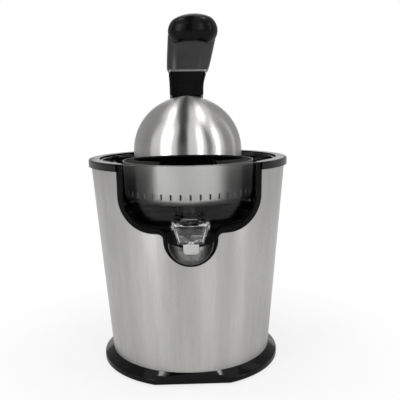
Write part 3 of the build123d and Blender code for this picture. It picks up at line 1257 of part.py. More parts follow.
def trim_ring():
    """Bright band between the column and the grip."""
    width = 2 * (ARM_HALF_WIDTH + TRIM_PROUD) + COLUMN_FLARE_RIGHT + COLUMN_FLARE_LEFT
    depth = COLUMN_DEPTH + 2 * TRIM_PROUD
    face = Pos(TRIM_X, COLUMN_Y) * RectangleRounded(width, depth, ARM_EDGE_RADIUS + TRIM_PROUD)
    return Pos(0, 0, COLUMN_TOP_Z) * extrude(face, amount=TRIM_HEIGHT)


def grip_section(rise, grow=0.0):
    """Cross-section of the grip at a rise above the trim ring. It swells and leans forward and right."""
    share = rise / BULB_RISE
    swell = min(1.0, share) ** 2
    crown = max(0.0, (rise - BULB_RISE) / (GRIP_HEIGHT - BULB_RISE))
    taper = (1 - crown**CAP_POWER) ** (1 / CAP_POWER)
    width = (GRIP_WIDTH + swell * (BULB_WIDTH - GRIP_WIDTH)) * taper + 2 * grow
    depth = (GRIP_DEPTH + swell * (BULB_DEPTH - GRIP_DEPTH)) * taper + 2 * grow
    x = TRIM_X + share * (BULB_X - TRIM_X)
    y = COLUMN_Y + share**2 * (BULB_Y - COLUMN_Y)
    place = Pos(x, y, TRIM_TOP_Z + rise) * Rot(BULB_LEAN * share, GRIP_ROLL * share, 0)
    return place * RectangleRounded(width, depth, GRIP_CORNER * depth)


def grip_sleeve():
    """Soft lower half of the grip."""
    return loft([grip_section(LIP_RISE * step, -LIP_STEP * step) for step in SLEEVE_STEPS])


def grip_cap():
    """Glossy bulb on top, with a lip over the sleeve."""
    crown = GRIP_HEIGHT - BULB_RISE
    rises = [LIP_RISE, BULB_RISE] + [BULB_RISE + share * crown for share in CAP_STEPS]
    return loft([grip_section(rise) for rise in rises])


PIECES = [
    base_skirt, bottom_plate, rubber_feet, bottom_screws, steel_shell, cord_gland, top_ring, front_frame,
    drip_scoop, inner_tub, ring_screws, juice_bowl, strainer, gear_plate, gear_plate_posts, gear_plate_screws,
    plate_bush, drive_gear, gear_clip, spindle, return_spring, spindle_bush, spindle_seal, motor_core,
    motor_coils, motor_rotor, armature_winding, drive_pinion, motor_brackets, motor_bearings, motor_rods,
    motor_spacers, carbon_brushes, microswitch, switch_terminals, switch_plunger, switch_bracket,
    reaming_cone, flip_spout, spout_tip, spout_pins, press_dome, dome_liner, dome_screw, press_arm, arm_cover,
    arm_screws, hinge_bracket, hinge_pin, hinge_screws, trim_ring, grip_sleeve, grip_cap,
]

os.makedirs("parts", exist_ok=True)
for piece in PIECES:
    save(piece.__name__, piece())
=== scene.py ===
from math import atan2, cos, pi, radians, sin

import bpy
from bpy.props import FloatProperty, FloatVectorProperty, PointerProperty
from mathutils import Matrix, Vector


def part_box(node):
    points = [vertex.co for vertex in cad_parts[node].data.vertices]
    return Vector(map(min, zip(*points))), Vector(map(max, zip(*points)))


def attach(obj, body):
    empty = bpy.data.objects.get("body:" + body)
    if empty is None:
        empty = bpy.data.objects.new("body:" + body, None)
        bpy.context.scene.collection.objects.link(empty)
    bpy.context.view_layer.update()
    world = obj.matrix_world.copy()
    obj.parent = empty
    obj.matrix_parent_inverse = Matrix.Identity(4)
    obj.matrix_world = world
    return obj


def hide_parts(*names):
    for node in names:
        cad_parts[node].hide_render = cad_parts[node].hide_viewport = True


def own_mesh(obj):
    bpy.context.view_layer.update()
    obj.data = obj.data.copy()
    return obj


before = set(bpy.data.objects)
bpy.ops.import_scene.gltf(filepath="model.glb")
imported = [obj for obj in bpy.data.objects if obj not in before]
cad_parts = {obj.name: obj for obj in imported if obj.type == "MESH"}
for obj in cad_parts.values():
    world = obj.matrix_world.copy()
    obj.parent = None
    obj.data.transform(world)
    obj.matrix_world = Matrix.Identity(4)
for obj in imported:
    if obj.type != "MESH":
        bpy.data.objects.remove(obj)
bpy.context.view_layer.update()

bl_info = {
    "name": "Citrus Press Dresser",
    "version": (1, 0, 0),
    "blender": (4, 5, 0),
    "location": "View3D > Sidebar > Citrus Press",
    "description": "Gives the packed citrus press its finishes, its shaped grip and spout, and a studio",
    "category": "Object",
}


# Settings that a user would change

class PressFinishes(bpy.types.PropertyGroup):
    """Colours and polish of the press."""

    steel: FloatVectorProperty(
        name="Steel", description="Colour of the brushed steel", subtype="COLOR", size=4,
        default=(0.56, 0.555, 0.545, 1.0), min=0.0, max=1.0,
    )
    steel_roughness: FloatProperty(
        name="Steel roughness", description="Roughness of the brushed steel", subtype="FACTOR",
        default=0.30, min=0.0, max=1.0,
    )
    steel_grain: FloatProperty(
        name="Steel grain", description="How far the brushing stretches the highlights", subtype="FACTOR",
        default=0.85, min=0.0, max=1.0,
    )
    gloss_black: FloatVectorProperty(
        name="Gloss black", description="Colour of the polished black mouldings", subtype="COLOR", size=4,
        default=(0.0035, 0.0035, 0.0037, 1.0), min=0.0, max=1.0,
    )
    satin_black: FloatVectorProperty(
        name="Satin black", description="Colour of the satin black mouldings", subtype="COLOR", size=4,
        default=(0.006, 0.006, 0.006, 1.0), min=0.0, max=1.0,
    )
    soft_grey: FloatVectorProperty(
        name="Soft grey", description="Colour of the grip's soft sleeve", subtype="COLOR", size=4,
        default=(0.016, 0.016, 0.017, 1.0), min=0.0, max=1.0,
    )
    clear: FloatVectorProperty(
        name="Clear", description="Tint of the bowl and spout", subtype="COLOR", size=4,
        default=(0.96, 0.965, 0.965, 1.0), min=0.0, max=1.0,
    )
    white: FloatVectorProperty(
        name="White", description="Colour of the spout's tip and other white plastic",
        subtype="COLOR", size=4, default=(0.50, 0.50, 0.495, 1.0), min=0.0, max=1.0,
    )


class PressStage(bpy.types.PropertyGroup):
    """Camera, floor and lamps."""

    camera_place: FloatVectorProperty(
        name="Camera place", description="Where the camera stands", subtype="XYZ", unit="LENGTH", size=3,
        default=(-0.00804, -0.56494, 0.24571),
    )
    camera_yaw: FloatProperty(
        name="Camera yaw", description="Turn of the camera to the right", subtype="ANGLE", default=0.03402,
    )
    camera_pitch: FloatProperty(
        name="Camera pitch", description="Tilt of the camera down", subtype="ANGLE", default=0.15943,
    )
    camera_roll: FloatProperty(
        name="Camera roll", description="Roll of the camera about its view", subtype="ANGLE",
        default=-0.01379,
    )
    lens: FloatProperty(
        name="Lens", description="Focal length for a 36 mm sensor, in millimetres", default=52.34, min=10.0,
    )
    floor_tone: FloatProperty(
        name="Floor tone", description="Grey level of the floor", subtype="FACTOR",
        default=0.92, min=0.0, max=1.0,
    )
    key_power: FloatProperty(
        name="Key lamp", description="Power of the tall lamp on the left", unit="POWER", default=4.5, min=0.0,
    )
    strip_power: FloatProperty(
        name="Strip lamps", description="Power of each narrow lamp on the right", unit="POWER",
        default=1.8, min=0.0,
    )
    top_power: FloatProperty(
        name="Top lamps", description="Power of each lamp overhead", unit="POWER", default=1.7, min=0.0,
    )
    sky: FloatProperty(
        name="Sky", description="Strength of the light from all round", default=0.55, min=0.0,
    )


# Shader building blocks

def add_node(tree, kind, place=(0, 0), **values):
    """Adds a shader node and sets its inputs by name or its properties."""
    node = tree.nodes.new(kind)
    node.location = place
    for key, value in values.items():
        socket = node.inputs.get(key.replace("_", " "))
        if socket is not None:
            socket.default_value = value
        else:
            setattr(node, key, value)
    return node


def new_group(name, inputs, outputs):
    """Starts a shader node group with named sockets."""
    group = bpy.data.node_groups.new(name, "ShaderNodeTree")
    for label, kind, default in inputs:
        socket = group.interface.new_socket(label, in_out="INPUT", socket_type=kind)
        if default is not None:
            socket.default_value = default
    for label, kind in outputs:
        group.interface.new_socket(label, in_out="OUTPUT", socket_type=kind)
    enter = add_node(group, "NodeGroupInput", (-800, 0))
    leave = add_node(group, "NodeGroupOutput", (600, 0))
    return group, enter, leave


FLOAT, VECTOR = "NodeSocketFloat", "NodeSocketVector"


def brushed_lines_group():
    """Fine lines of a brushing belt plus the slow cloudiness of rolled sheet."""
    if "Brushed Lines" in bpy.data.node_groups:
        return bpy.data.node_groups["Brushed Lines"]
    group, enter, leave = new_group(
        "Brushed Lines",
        [
            ("Vector", VECTOR, None), ("Around", FLOAT, 25.0), ("Along", FLOAT, 900.0),
            ("Cloud Scale", FLOAT, 14.0),
        ],
        [("Lines", FLOAT), ("Cloud", FLOAT)],
    )
    link = group.links.new
    stretch = add_node(group, "ShaderNodeCombineXYZ", (-600, 100))
    scaled = add_node(group, "ShaderNodeVectorMath", (-400, 100), operation="MULTIPLY")
    lines = add_node(group, "ShaderNodeTexNoise", (-200, 100), Scale=1.0, Detail=4.0, Roughness=0.65)
    cloud = add_node(group, "ShaderNodeTexNoise", (-200, -200), Detail=2.0, Roughness=0.5)
    sharper = add_node(group, "ShaderNodeMapRange", (100, 100), From_Min=0.3, From_Max=0.7)
    softer = add_node(group, "ShaderNodeMapRange", (100, -200), From_Min=0.35, From_Max=0.65)
    for axis, source in zip("XYZ", ("Around", "Around", "Along")):
        link(enter.outputs[source], stretch.inputs[axis])
    link(enter.outputs["Vector"], scaled.inputs[0])
    link(stretch.outputs[0], scaled.inputs[1])
    link(scaled.outputs[0], lines.inputs["Vector"])
    link(enter.outputs["Vector"], cloud.inputs["Vector"])
    link(enter.outputs["Cloud Scale"], cloud.inputs["Scale"])
    link(lines.outputs["Fac"], sharper.inputs["Value"])
    link(cloud.outputs["Fac"], softer.inputs["Value"])
    link(sharper.outputs[0], leave.inputs["Lines"])
    link(softer.outputs[0], leave.inputs["Cloud"])
    return group


def handling_haze_group():
    """Faint smears and specks that hands and dust leave on polished plastic."""
    if "Handling Haze" in bpy.data.node_groups:
        return bpy.data.node_groups["Handling Haze"]
    group, enter, leave = new_group(
        "Handling Haze",
        [("Vector", VECTOR, None), ("Smear Scale", FLOAT, 25.0), ("Speck Scale", FLOAT, 700.0)],
        [("Smear", FLOAT), ("Speck", FLOAT)],
    )
    link = group.links.new
    smear = add_node(group, "ShaderNodeTexNoise", (-300, 100), Detail=5.0, Roughness=0.6, Distortion=0.8)
    speck = add_node(group, "ShaderNodeTexVoronoi", (-300, -200))
    smear_range = add_node(group, "ShaderNodeMapRange", (0, 100), From_Min=0.45, From_Max=0.75)
    speck_range = add_node(group, "ShaderNodeMapRange", (0, -200), From_Min=0.16, From_Max=0.04)
    for node, scale in ((smear, "Smear Scale"), (speck, "Speck Scale")):
        link(enter.outputs["Vector"], node.inputs["Vector"])
        link(enter.outputs[scale], node.inputs["Scale"])
    link(smear.outputs["Fac"], smear_range.inputs["Value"])
    link(speck.outputs["Distance"], speck_range.inputs["Value"])
    link(smear_range.outputs[0], leave.inputs["Smear"])
    link(speck_range.outputs[0], leave.inputs["Speck"])
    return group


def moulded_grain_group():
    """Pebbled surface of a textured mould."""
    if "Moulded Grain" in bpy.data.node_groups:
        return bpy.data.node_groups["Moulded Grain"]
    group, enter, leave = new_group(
        "Moulded Grain",
        [("Vector", VECTOR, None), ("Grain Scale", FLOAT, 1500.0)],
        [("Height", FLOAT), ("Tone", FLOAT)],
    )
    link = group.links.new
    pebbles = add_node(group, "ShaderNodeTexVoronoi", (-300, 100), feature="SMOOTH_F1")
    patches = add_node(group, "ShaderNodeTexNoise", (-300, -200), Scale=60.0, Detail=3.0)
    tone = add_node(group, "ShaderNodeMapRange", (0, -200), From_Min=0.3, From_Max=0.7)
    link(enter.outputs["Vector"], pebbles.inputs["Vector"])
    link(enter.outputs["Grain Scale"], pebbles.inputs["Scale"])
    link(enter.outputs["Vector"], patches.inputs["Vector"])
    link(patches.outputs["Fac"], tone.inputs["Value"])
    link(pebbles.outputs["Distance"], leave.inputs["Height"])
    link(tone.outputs[0], leave.inputs["Tone"])
    return group


def start_material(name, **shader_values):
    """New material with a Principled shader whose plain values sit on its own sockets."""
    material = bpy.data.materials.new(name)
    material.use_nodes = True
    tree = material.node_tree
    tree.nodes.clear()
    shader = add_node(tree, "ShaderNodeBsdfPrincipled", (400, 0), **shader_values)
    output = add_node(tree, "ShaderNodeOutputMaterial", (700, 0))
    tree.links.new(shader.outputs[0], output.inputs["Surface"])
    coordinates = add_node(tree, "ShaderNodeTexCoord", (-900, 0))
    return material, tree, shader, coordinates.outputs["Object"]


def use_group(tree, group, vector, place=(-600, 0), **values):
    """Places a shared node group in a material with its own values."""
    node = add_node(tree, "ShaderNodeGroup", place)
    node.node_tree = group
    for key, value in values.items():
        node.inputs[key.replace("_", " ")].default_value = value
    tree.links.new(vector, node.inputs["Vector"])
    return node


def vary_color(tree, shader, factor, low, high, place=(0, 200)):
    """Base colour that runs between two colours by a mask."""
    mix = add_node(tree, "ShaderNodeMix", place, data_type="RGBA")
    mix.inputs[6].default_value = low
    mix.inputs[7].default_value = high
    tree.links.new(factor, mix.inputs[0])
    tree.links.new(mix.outputs[2], shader.inputs["Base Color"])
    return mix


def vary_roughness(tree, shader, factor, low, high, place=(0, -100)):
    """Roughness that runs between two values by a mask."""
    spread = add_node(tree, "ShaderNodeMapRange", place, To_Min=low, To_Max=high)
    tree.links.new(factor, spread.inputs["Value"])
    tree.links.new(spread.outputs[0], shader.inputs["Roughness"])


def add_bump(tree, shader, height, strength, distance, place=(150, -350)):
    """Fine relief from a height mask."""
    bump = add_node(tree, "ShaderNodeBump", place, Strength=strength, Distance=distance)
    tree.links.new(height, bump.inputs["Height"])
    tree.links.new(bump.outputs[0], shader.inputs["Normal"])


def shade(color, share):
    """A colour made darker or lighter by a share."""
    return tuple(min(1.0, channel * share) for channel in color[:3]) + (1.0,)


def brushed_steel(name, color, roughness, grain, around, along, contrast=0.05, bump=0.03, cloud=0.04):
    """Stainless sheet brushed round the Z axis, so that highlights stretch upright."""
    material, tree, shader, place = start_material(
        name, Metallic=1.0, Anisotropic=grain, Anisotropic_Rotation=0.25,
    )
    lines = use_group(tree, brushed_lines_group(), place, Around=around, Along=along)
    sheen = vary_color(
        tree, shader, lines.outputs["Lines"], shade(color, 1.0 - contrast), shade(color, 1.0 + contrast),
    )
    upright = use_group(tree, brushed_lines_group(), place, (-600, 400), Around=90.0, Along=2.0)
    tint = add_node(tree, "ShaderNodeMix", (200, 300), data_type="RGBA", blend_type="MULTIPLY")
    tint.inputs[0].default_value = 1.0
    spread = add_node(tree, "ShaderNodeMapRange", (-100, 450), To_Min=1.0 - 2 * cloud)
    tree.links.new(upright.outputs["Lines"], spread.inputs["Value"])
    tree.links.new(sheen.outputs[2], tint.inputs[6])
    tree.links.new(spread.outputs[0], tint.inputs[7])
    tree.links.new(tint.outputs[2], shader.inputs["Base Color"])
    vary_roughness(tree, shader, lines.outputs["Cloud"], roughness - 0.04, roughness + 0.05)
    if bump:
        add_bump(tree, shader, lines.outputs["Lines"], bump, 0.00005)
    tangent = add_node(tree, "ShaderNodeTangent", (150, -550), direction_type="RADIAL", axis="Z")
    tree.links.new(tangent.outputs[0], shader.inputs["Tangent"])
    return material


def gloss_black(name, color, roughness, polish=0.18):
    """Polished black plastic with faint handling marks."""
    material, tree, shader, place = start_material(name, Specular_IOR_Level=polish, IOR=1.5)
    haze = use_group(tree, handling_haze_group(), place)
    vary_color(tree, shader, haze.outputs["Speck"], color, shade(color, 2.2))
    vary_roughness(tree, shader, haze.outputs["Smear"], roughness, roughness + 0.06)
    return material


def satin_plastic(name, color, roughness, grain_scale=1400.0, bump=0.25, lift=1.35, polish=0.25):
    """Moulded plastic or rubber with a pebbled mould texture."""
    material, tree, shader, place = start_material(name, Specular_IOR_Level=polish)
    grain = use_group(tree, moulded_grain_group(), place, Grain_Scale=grain_scale)
    vary_color(tree, shader, grain.outputs["Tone"], color, shade(color, lift))
    vary_roughness(tree, shader, grain.outputs["Tone"], roughness - 0.05, roughness + 0.08)
    add_bump(tree, shader, grain.outputs["Height"], bump, 0.0001)
    return material


def clear_plastic(name, tint, glint, haze_share, ripple):
    """Clear moulding with faint flow lines and handling haze, which lets lamp light through."""
    material, tree, shader, place = start_material(
        name, Base_Color=tint, Transmission_Weight=1.0, IOR=1.47, Specular_Tint=(glint, glint, glint, 1.0),
    )
    haze = use_group(tree, handling_haze_group(), place, Smear_Scale=40.0)
    vary_roughness(tree, shader, haze.outputs["Smear"], 0.0, haze_share)
    flow = use_group(tree, brushed_lines_group(), place, (-600, -400), Around=60.0, Along=140.0)
    add_bump(tree, shader, flow.outputs["Lines"], ripple, 0.0002)
    rays = add_node(tree, "ShaderNodeLightPath", (400, 400))
    passing = add_node(tree, "ShaderNodeBsdfTransparent", (400, 200), Color=tint)
    mix = add_node(tree, "ShaderNodeMixShader", (700, 200))
    output = next(node for node in tree.nodes if node.type == "OUTPUT_MATERIAL")
    output.location = (950, 100)
    tree.links.new(rays.outputs["Is Shadow Ray"], mix.inputs[0])
    tree.links.new(shader.outputs[0], mix.inputs[1])
    tree.links.new(passing.outputs[0], mix.inputs[2])
    tree.links.new(mix.outputs[0], output.inputs["Surface"])
    return material


def plain_metal(name, color, roughness, around=350.0, along=350.0):
    """Turned or plated metal with fine tool marks."""
    material, tree, shader, place = start_material(name, Metallic=1.0)
    lines = use_group(tree, brushed_lines_group(), place, Around=around, Along=along, Cloud_Scale=60.0)
    vary_color(tree, shader, lines.outputs["Lines"], shade(color, 0.82), shade(color, 1.1))
    vary_roughness(tree, shader, lines.outputs["Cloud"], roughness - 0.06, roughness + 0.1)
    add_bump(tree, shader, lines.outputs["Lines"], 0.15, 0.00005)
    return material


def give(material, *names):
    """Puts one material on CAD nodes."""
    for name in names:
        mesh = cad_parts[name].data
        mesh.materials.clear()
        mesh.materials.append(material)


def merged_copy(node, name):
    """Copy of a CAD node with its doubled points merged, to stand for it."""
    piece = bpy.data.objects.new(name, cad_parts[node].data.copy())
    bpy.context.scene.collection.objects.link(piece)
    pick(piece)
    bpy.ops.mesh.customdata_custom_splitnormals_clear()
    start_edit(piece)
    bpy.ops.mesh.remove_doubles(threshold=MERGE_DISTANCE)
    bpy.ops.object.mode_set(mode="OBJECT")
    return piece


def squashed_spring():
    """Copy of the return spring, smoothed and hung on the gear body in its place."""
    spring = merged_copy("return_spring", "return_spring_coil")
    bpy.ops.object.shade_smooth_by_angle(angle=radians(40))
    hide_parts("return_spring")
    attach(spring, "gear")
    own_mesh(spring)


def eased_copy(node, body, width, segments=2):
    """Copy of a CAD moulding with its sharp edges rounded off, to stand for it."""
    piece = merged_copy(node, f"{node}_eased")
    start_edit(piece)
    bpy.ops.mesh.dissolve_limited(angle_limit=FLAT_ANGLE)
    bpy.ops.object.mode_set(mode="OBJECT")
    apply_modifier(
        piece, "BEVEL", width=width, segments=segments, limit_method="ANGLE", angle_limit=SHARP_ANGLE,
    )
    bpy.ops.object.shade_smooth_by_angle(angle=SMOOTH_ANGLE)
    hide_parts(node)
    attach(piece, body)
    return piece


# Modelled pieces, with their sizes in millimetres

MM = 0.001
MERGE_DISTANCE = 0.000002
FLAT_ANGLE, SHARP_ANGLE, SMOOTH_ANGLE = radians(0.3), radians(34), radians(32)
ROD_POINTS, ROD_LENGTH = 160, 400.0
STRAINER_COLUMNS, COLUMNS_PER_SLOT, STRAINER_WALL = 220, 5, 0.8
SLOT_LOW, SLOT_HIGH = 164.6, 169.5
# Radius and height of each ring of the strainer, from the hub to the rim
STRAINER_RINGS = (
    (14.8, 159.0), (30.0, 159.0), (55.2, 159.0), (57.05, 159.2), (58.73, 159.9), (60.05, 161.07),
    (60.91, 162.75), (61.2, SLOT_LOW), (61.4, SLOT_HIGH), (62.0, 182.0), (62.6, 195.2),
)
DISH_PLACE, CRESCENT_RADIUS, CRESCENT_WALL = (0.0, -93.63, 132.4), 20.2, 0.6
CRESCENT_FRONT_Y, SPOUT_CLEAR_Z, SPOUT_CLEAR_RADIUS = -87.6, 151.4, 27.0
BUN_PLACE, BUN_SIZE, BUN_ROLL, BUN_SQUARENESS = (6.9, 15.0, 317.6), (48.2, 40.0, 33.2), 3.0, 0.07
LIP_X, LIP_Z, LIP_RADIUS, LIP_ROUND = 6.0, 307.5, 65.0, 0.9
SLEEVE_LOW_Z, SLEEVE_HEIGHT, SLEEVE_STEPS, SLEEVE_CORNER = 281.3, 32.7, 9, 12.0
SLEEVE_X, SLEEVE_LEAN, SLEEVE_Y, SLEEVE_REACH = 1.5, 4.7, 25.0, 6.5
SLEEVE_WIDTH, SLEEVE_FLARE, SLEEVE_FLARE_POWER = 40.7, 6.3, 0.7
SLEEVE_DEPTH, SLEEVE_THINNING = 28.0, 1.0
TIP_SHARE, TIP_HOLD = (0.86, 0.90, 0.73), 0.525


def pick(piece):
    """Makes one piece the only one selected."""
    bpy.ops.object.select_all(action="DESELECT")
    piece.select_set(True)
    bpy.context.view_layer.objects.active = piece


def start_edit(piece):
    """Opens one piece in edit mode with all of it selected."""
    pick(piece)
    bpy.ops.object.mode_set(mode="EDIT")
    bpy.ops.mesh.select_all(action="SELECT")


def placed(piece, name):
    """Names a new primitive and sets its place into its mesh."""
    piece.name = name
    bpy.ops.object.transform_apply(location=True, rotation=True, scale=True)
    return piece


def draw_up(sections):
    """Draws the selected edge loop through sections of x, y, z, width and depth."""
    x, y, z, width, depth = sections[0]
    for next_x, next_y, next_z, next_width, next_depth in sections[1:]:
        move = ((next_x - x) * MM, (next_y - y) * MM, (next_z - z) * MM)
        bpy.ops.mesh.extrude_edges_move(TRANSFORM_OT_translate={"value": move})
        bpy.ops.transform.resize(
            value=(next_width / width, next_depth / depth, 1.0),
            center_override=(next_x * MM, next_y * MM, next_z * MM),
        )
        x, y, z, width, depth = next_x, next_y, next_z, next_width, next_depth


def apply_modifier(piece, kind, **values):
    """Adds one modifier to a piece and applies it."""
    pick(piece)
    change = piece.modifiers.new(kind.lower(), kind)
    for key, value in values.items():
        setattr(change, key, value)
    bpy.ops.object.modifier_apply(modifier=change.name)


def drop_faces(piece, unwanted):
    """Deletes the faces of a piece whose centres a test picks out."""
    start_edit(piece)
    bpy.ops.mesh.select_mode(type="FACE")
    bpy.ops.mesh.select_all(action="DESELECT")
    bpy.ops.object.mode_set(mode="OBJECT")
    for face in piece.data.polygons:
        face.select = unwanted(face.center)
    bpy.ops.object.mode_set(mode="EDIT")
    bpy.ops.mesh.delete(type="FACE")
    bpy.ops.mesh.select_mode(type="VERT")
    bpy.ops.mesh.select_all(action="SELECT")


def cut_with_rod(piece, x, z, radius):
    """Takes a long rod along Y out of a piece."""
    bpy.ops.object.select_all(action="DESELECT")
    bpy.ops.mesh.primitive_cylinder_add(
        vertices=ROD_POINTS, radius=radius * MM, depth=ROD_LENGTH * MM, location=(x * MM, 0.0, z * MM),
        rotation=(radians(90), 0, 0),
    )
    rod = placed(bpy.context.object, "rod")
    apply_modifier(piece, "BOOLEAN", operation="DIFFERENCE", object=rod, solver="EXACT")
    bpy.data.objects.remove(rod)


def finish_piece(piece, material, node, body, smooth=35):
    """Smooths a modelled piece, gives it its finish and lets it stand for a node."""
    start_edit(piece)
    bpy.ops.mesh.remove_doubles(threshold=MERGE_DISTANCE)
    bpy.ops.mesh.normals_make_consistent(inside=False)
    bpy.ops.object.mode_set(mode="OBJECT")
    bpy.ops.object.shade_smooth_by_angle(angle=radians(smooth))
    piece.data.materials.append(material)
    if node:
        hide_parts(node)
    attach(piece, body)


def in_slot(place):
    """Whether a face of the strainer stands where a slot goes."""
    column = int(atan2(place.y, place.x) % (2 * pi) / (2 * pi) * STRAINER_COLUMNS)
    return SLOT_LOW * MM < place.z < SLOT_HIGH * MM and column % COLUMNS_PER_SLOT == 0


def draw_strainer(material):
    """Pressed pan with upright slots round the foot of its wall."""
    radius, height = STRAINER_RINGS[0]
    bpy.ops.object.select_all(action="DESELECT")
    bpy.ops.mesh.primitive_circle_add(
        vertices=STRAINER_COLUMNS, radius=radius * MM, fill_type="NOTHING", location=(0, 0, height * MM),
    )
    pan = placed(bpy.context.object, "slotted_strainer")
    start_edit(pan)
    draw_up([(0.0, 0.0, ring_z, 2 * ring_radius, 2 * ring_radius) for ring_radius, ring_z in STRAINER_RINGS])
    bpy.ops.object.mode_set(mode="OBJECT")
    drop_faces(pan, in_slot)
    bpy.ops.mesh.normals_make_consistent(inside=False)
    bpy.ops.object.mode_set(mode="OBJECT")
    apply_modifier(pan, "SOLIDIFY", thickness=STRAINER_WALL * MM, offset=0.0)
    finish_piece(pan, material, "strainer", "body")


def draw_crescent(material):
    """Steel crescent that lies in the dish below the spout."""
    bpy.ops.object.select_all(action="DESELECT")
    bpy.ops.mesh.primitive_uv_sphere_add(
        segments=96, ring_count=64, radius=CRESCENT_RADIUS * MM,
        location=[value * MM for value in DISH_PLACE],
    )
    crescent = placed(bpy.context.object, "drip_crescent")
    cut_with_rod(crescent, 0.0, SPOUT_CLEAR_Z, SPOUT_CLEAR_RADIUS)
    middle = Vector(DISH_PLACE) * MM
    drop_faces(crescent, lambda place: (place - middle).length < (CRESCENT_RADIUS - 0.5) * MM)
    bpy.ops.mesh.bisect(plane_co=(0, CRESCENT_FRONT_Y * MM, 0), plane_no=(0, 1, 0), clear_inner=True)
    bpy.ops.object.mode_set(mode="OBJECT")
    apply_modifier(crescent, "SOLIDIFY", thickness=CRESCENT_WALL * MM, offset=-1.0)
    finish_piece(crescent, material, None, "body")


def draw_bun(material):
    """Rounded cap of the grip with an arched lip over the sleeve."""
    bpy.ops.object.select_all(action="DESELECT")
    bpy.ops.mesh.primitive_cube_add(size=2.0, location=[value * MM for value in BUN_PLACE])
    bun = placed(bpy.context.object, "grip_bun")
    apply_modifier(bun, "SUBSURF", levels=5)
    apply_modifier(bun, "CAST", cast_type="CUBOID", factor=BUN_SQUARENESS)
    middle = [value * MM for value in BUN_PLACE]
    size = bun.dimensions
    start_edit(bun)
    share = [want * MM / have for want, have in zip(BUN_SIZE, size)]
    bpy.ops.transform.resize(value=share, center_override=middle)
    bpy.ops.transform.rotate(value=radians(BUN_ROLL), orient_axis="Y", center_override=middle)
    bpy.ops.object.mode_set(mode="OBJECT")
    cut_with_rod(bun, LIP_X, LIP_Z - LIP_RADIUS, LIP_RADIUS)
    apply_modifier(
        bun, "BEVEL", width=LIP_ROUND * MM, segments=3, limit_method="ANGLE", angle_limit=radians(50),
    )
    finish_piece(bun, material, "grip_cap", "arm")


def draw_sleeve(material):
    """Soft sleeve that widens and leans from the trim up into the cap."""
    steps = [step / SLEEVE_STEPS for step in range(SLEEVE_STEPS + 1)]
    sections = [
        (
            SLEEVE_X + SLEEVE_LEAN * share, SLEEVE_Y - SLEEVE_REACH * share ** 2,
            SLEEVE_LOW_Z + SLEEVE_HEIGHT * share,
            SLEEVE_WIDTH + SLEEVE_FLARE * share ** SLEEVE_FLARE_POWER, SLEEVE_DEPTH - SLEEVE_THINNING * share,
        )
        for share in steps
    ]
    x, y, z, width, depth = sections[0]
    bpy.ops.object.select_all(action="DESELECT")
    bpy.ops.mesh.primitive_plane_add(size=1.0, location=(x * MM, y * MM, z * MM))
    sleeve = bpy.context.object
    sleeve.scale = (width * MM, depth * MM, 1.0)
    placed(sleeve, "soft_sleeve")
    start_edit(sleeve)
    bpy.ops.mesh.bevel(offset=SLEEVE_CORNER * MM, segments=14, affect="VERTICES", profile=0.5)
    bpy.ops.mesh.select_all(action="SELECT")
    bpy.ops.mesh.delete(type="ONLY_FACE")
    bpy.ops.mesh.select_all(action="SELECT")
    draw_up(sections)
    bpy.ops.mesh.edge_face_add()
    bpy.ops.mesh.select_all(action="DESELECT")
    bpy.ops.mesh.select_non_manifold()
    bpy.ops.mesh.edge_face_add()
    bpy.ops.object.mode_set(mode="OBJECT")
    finish_piece(sleeve, material, "grip_sleeve", "arm", 40)


# Pieces and finishes

class PRESS_OT_steel(bpy.types.Operator):
    """Brushes the shell and dome, and draws the strainer and the crescent under the spout"""

    bl_idname = "press.steel"
    bl_label = "Brush the steel"

    def execute(self, context):
        looks = context.scene.press_finishes
        color, rough, grain = tuple(looks.steel), looks.steel_roughness, looks.steel_grain
        give(brushed_steel("brushed_shell", color, rough, grain, 700.0, 3.0, 0.04, 0.0, 0.07), "steel_shell")
        # The dome's steel is made 5% lighter than the shell's as painted light; its lower roughness is its
        # real spun finish.
        polish = shade(color, 1.05), rough - 0.03, grain
        dome = brushed_steel("spun_dome", *polish, 3.0, 1100.0, 0.02, 0.0, 0.03)
        give(dome, "press_dome")
        # The strainer's steel is made 15% darker than the shell's as painted shade inside the bowl under the
        # dome; its higher roughness is its pressed finish.
        bright = shade(color, 0.85)
        draw_strainer(brushed_steel("strainer_sheet", bright, 0.46, 0.15, 6.0, 900.0, 0.03, 0.0, 0.02))
        # The crescent's steel is darkened to about a quarter of the shell's as painted shade in the dish
        # below the spout; its strong streaks are brushing grain turned up into painted streaky reflection.
        draw_crescent(brushed_steel("crescent_sheet", shade(color, 0.27), 0.33, 0.3, 160.0, 260.0, 0.45, 0.6))
        return {"FINISHED"}


class PRESS_OT_black(bpy.types.Operator):
    """Polishes the black mouldings, textures the satin ones and draws the grip"""

    bl_idname = "press.black"
    bl_label = "Finish the black mouldings"

    def execute(self, context):
        looks = context.scene.press_finishes
        gloss, satin = tuple(looks.gloss_black), tuple(looks.satin_black)
        give(gloss_black("base_black", gloss, 0.07, 0.15), "base_skirt")
        arm = gloss_black("arm_black", gloss, 0.09, 0.06)
        give(arm, "front_frame", "press_arm", "arm_cover", "hinge_bracket")
        draw_bun(gloss_black("cap_black", gloss, 0.20, 0.11))
        give(gloss_black("ring_black", gloss, 0.20, 0.30), "top_ring")
        dull = satin_plastic("satin_black", satin, 0.42, polish=0.08)
        give(dull, "inner_tub", "bottom_plate", "cord_gland", "dome_liner", "drip_scoop")
        give(satin_plastic("switch_black", satin, 0.35, 2200.0), "microswitch")
        give(satin_plastic("cone_black", satin, 0.28, 900.0, 0.08), "reaming_cone")
        rubber = satin_plastic("foot_rubber", shade(satin, 1.4), 0.75, 1100.0, 0.5)
        give(rubber, "rubber_feet", "spindle_seal")
        draw_sleeve(satin_plastic("soft_sleeve", tuple(looks.soft_grey), 0.30, 1800.0, 0.08, 1.25, 0.5))
        return {"FINISHED"}


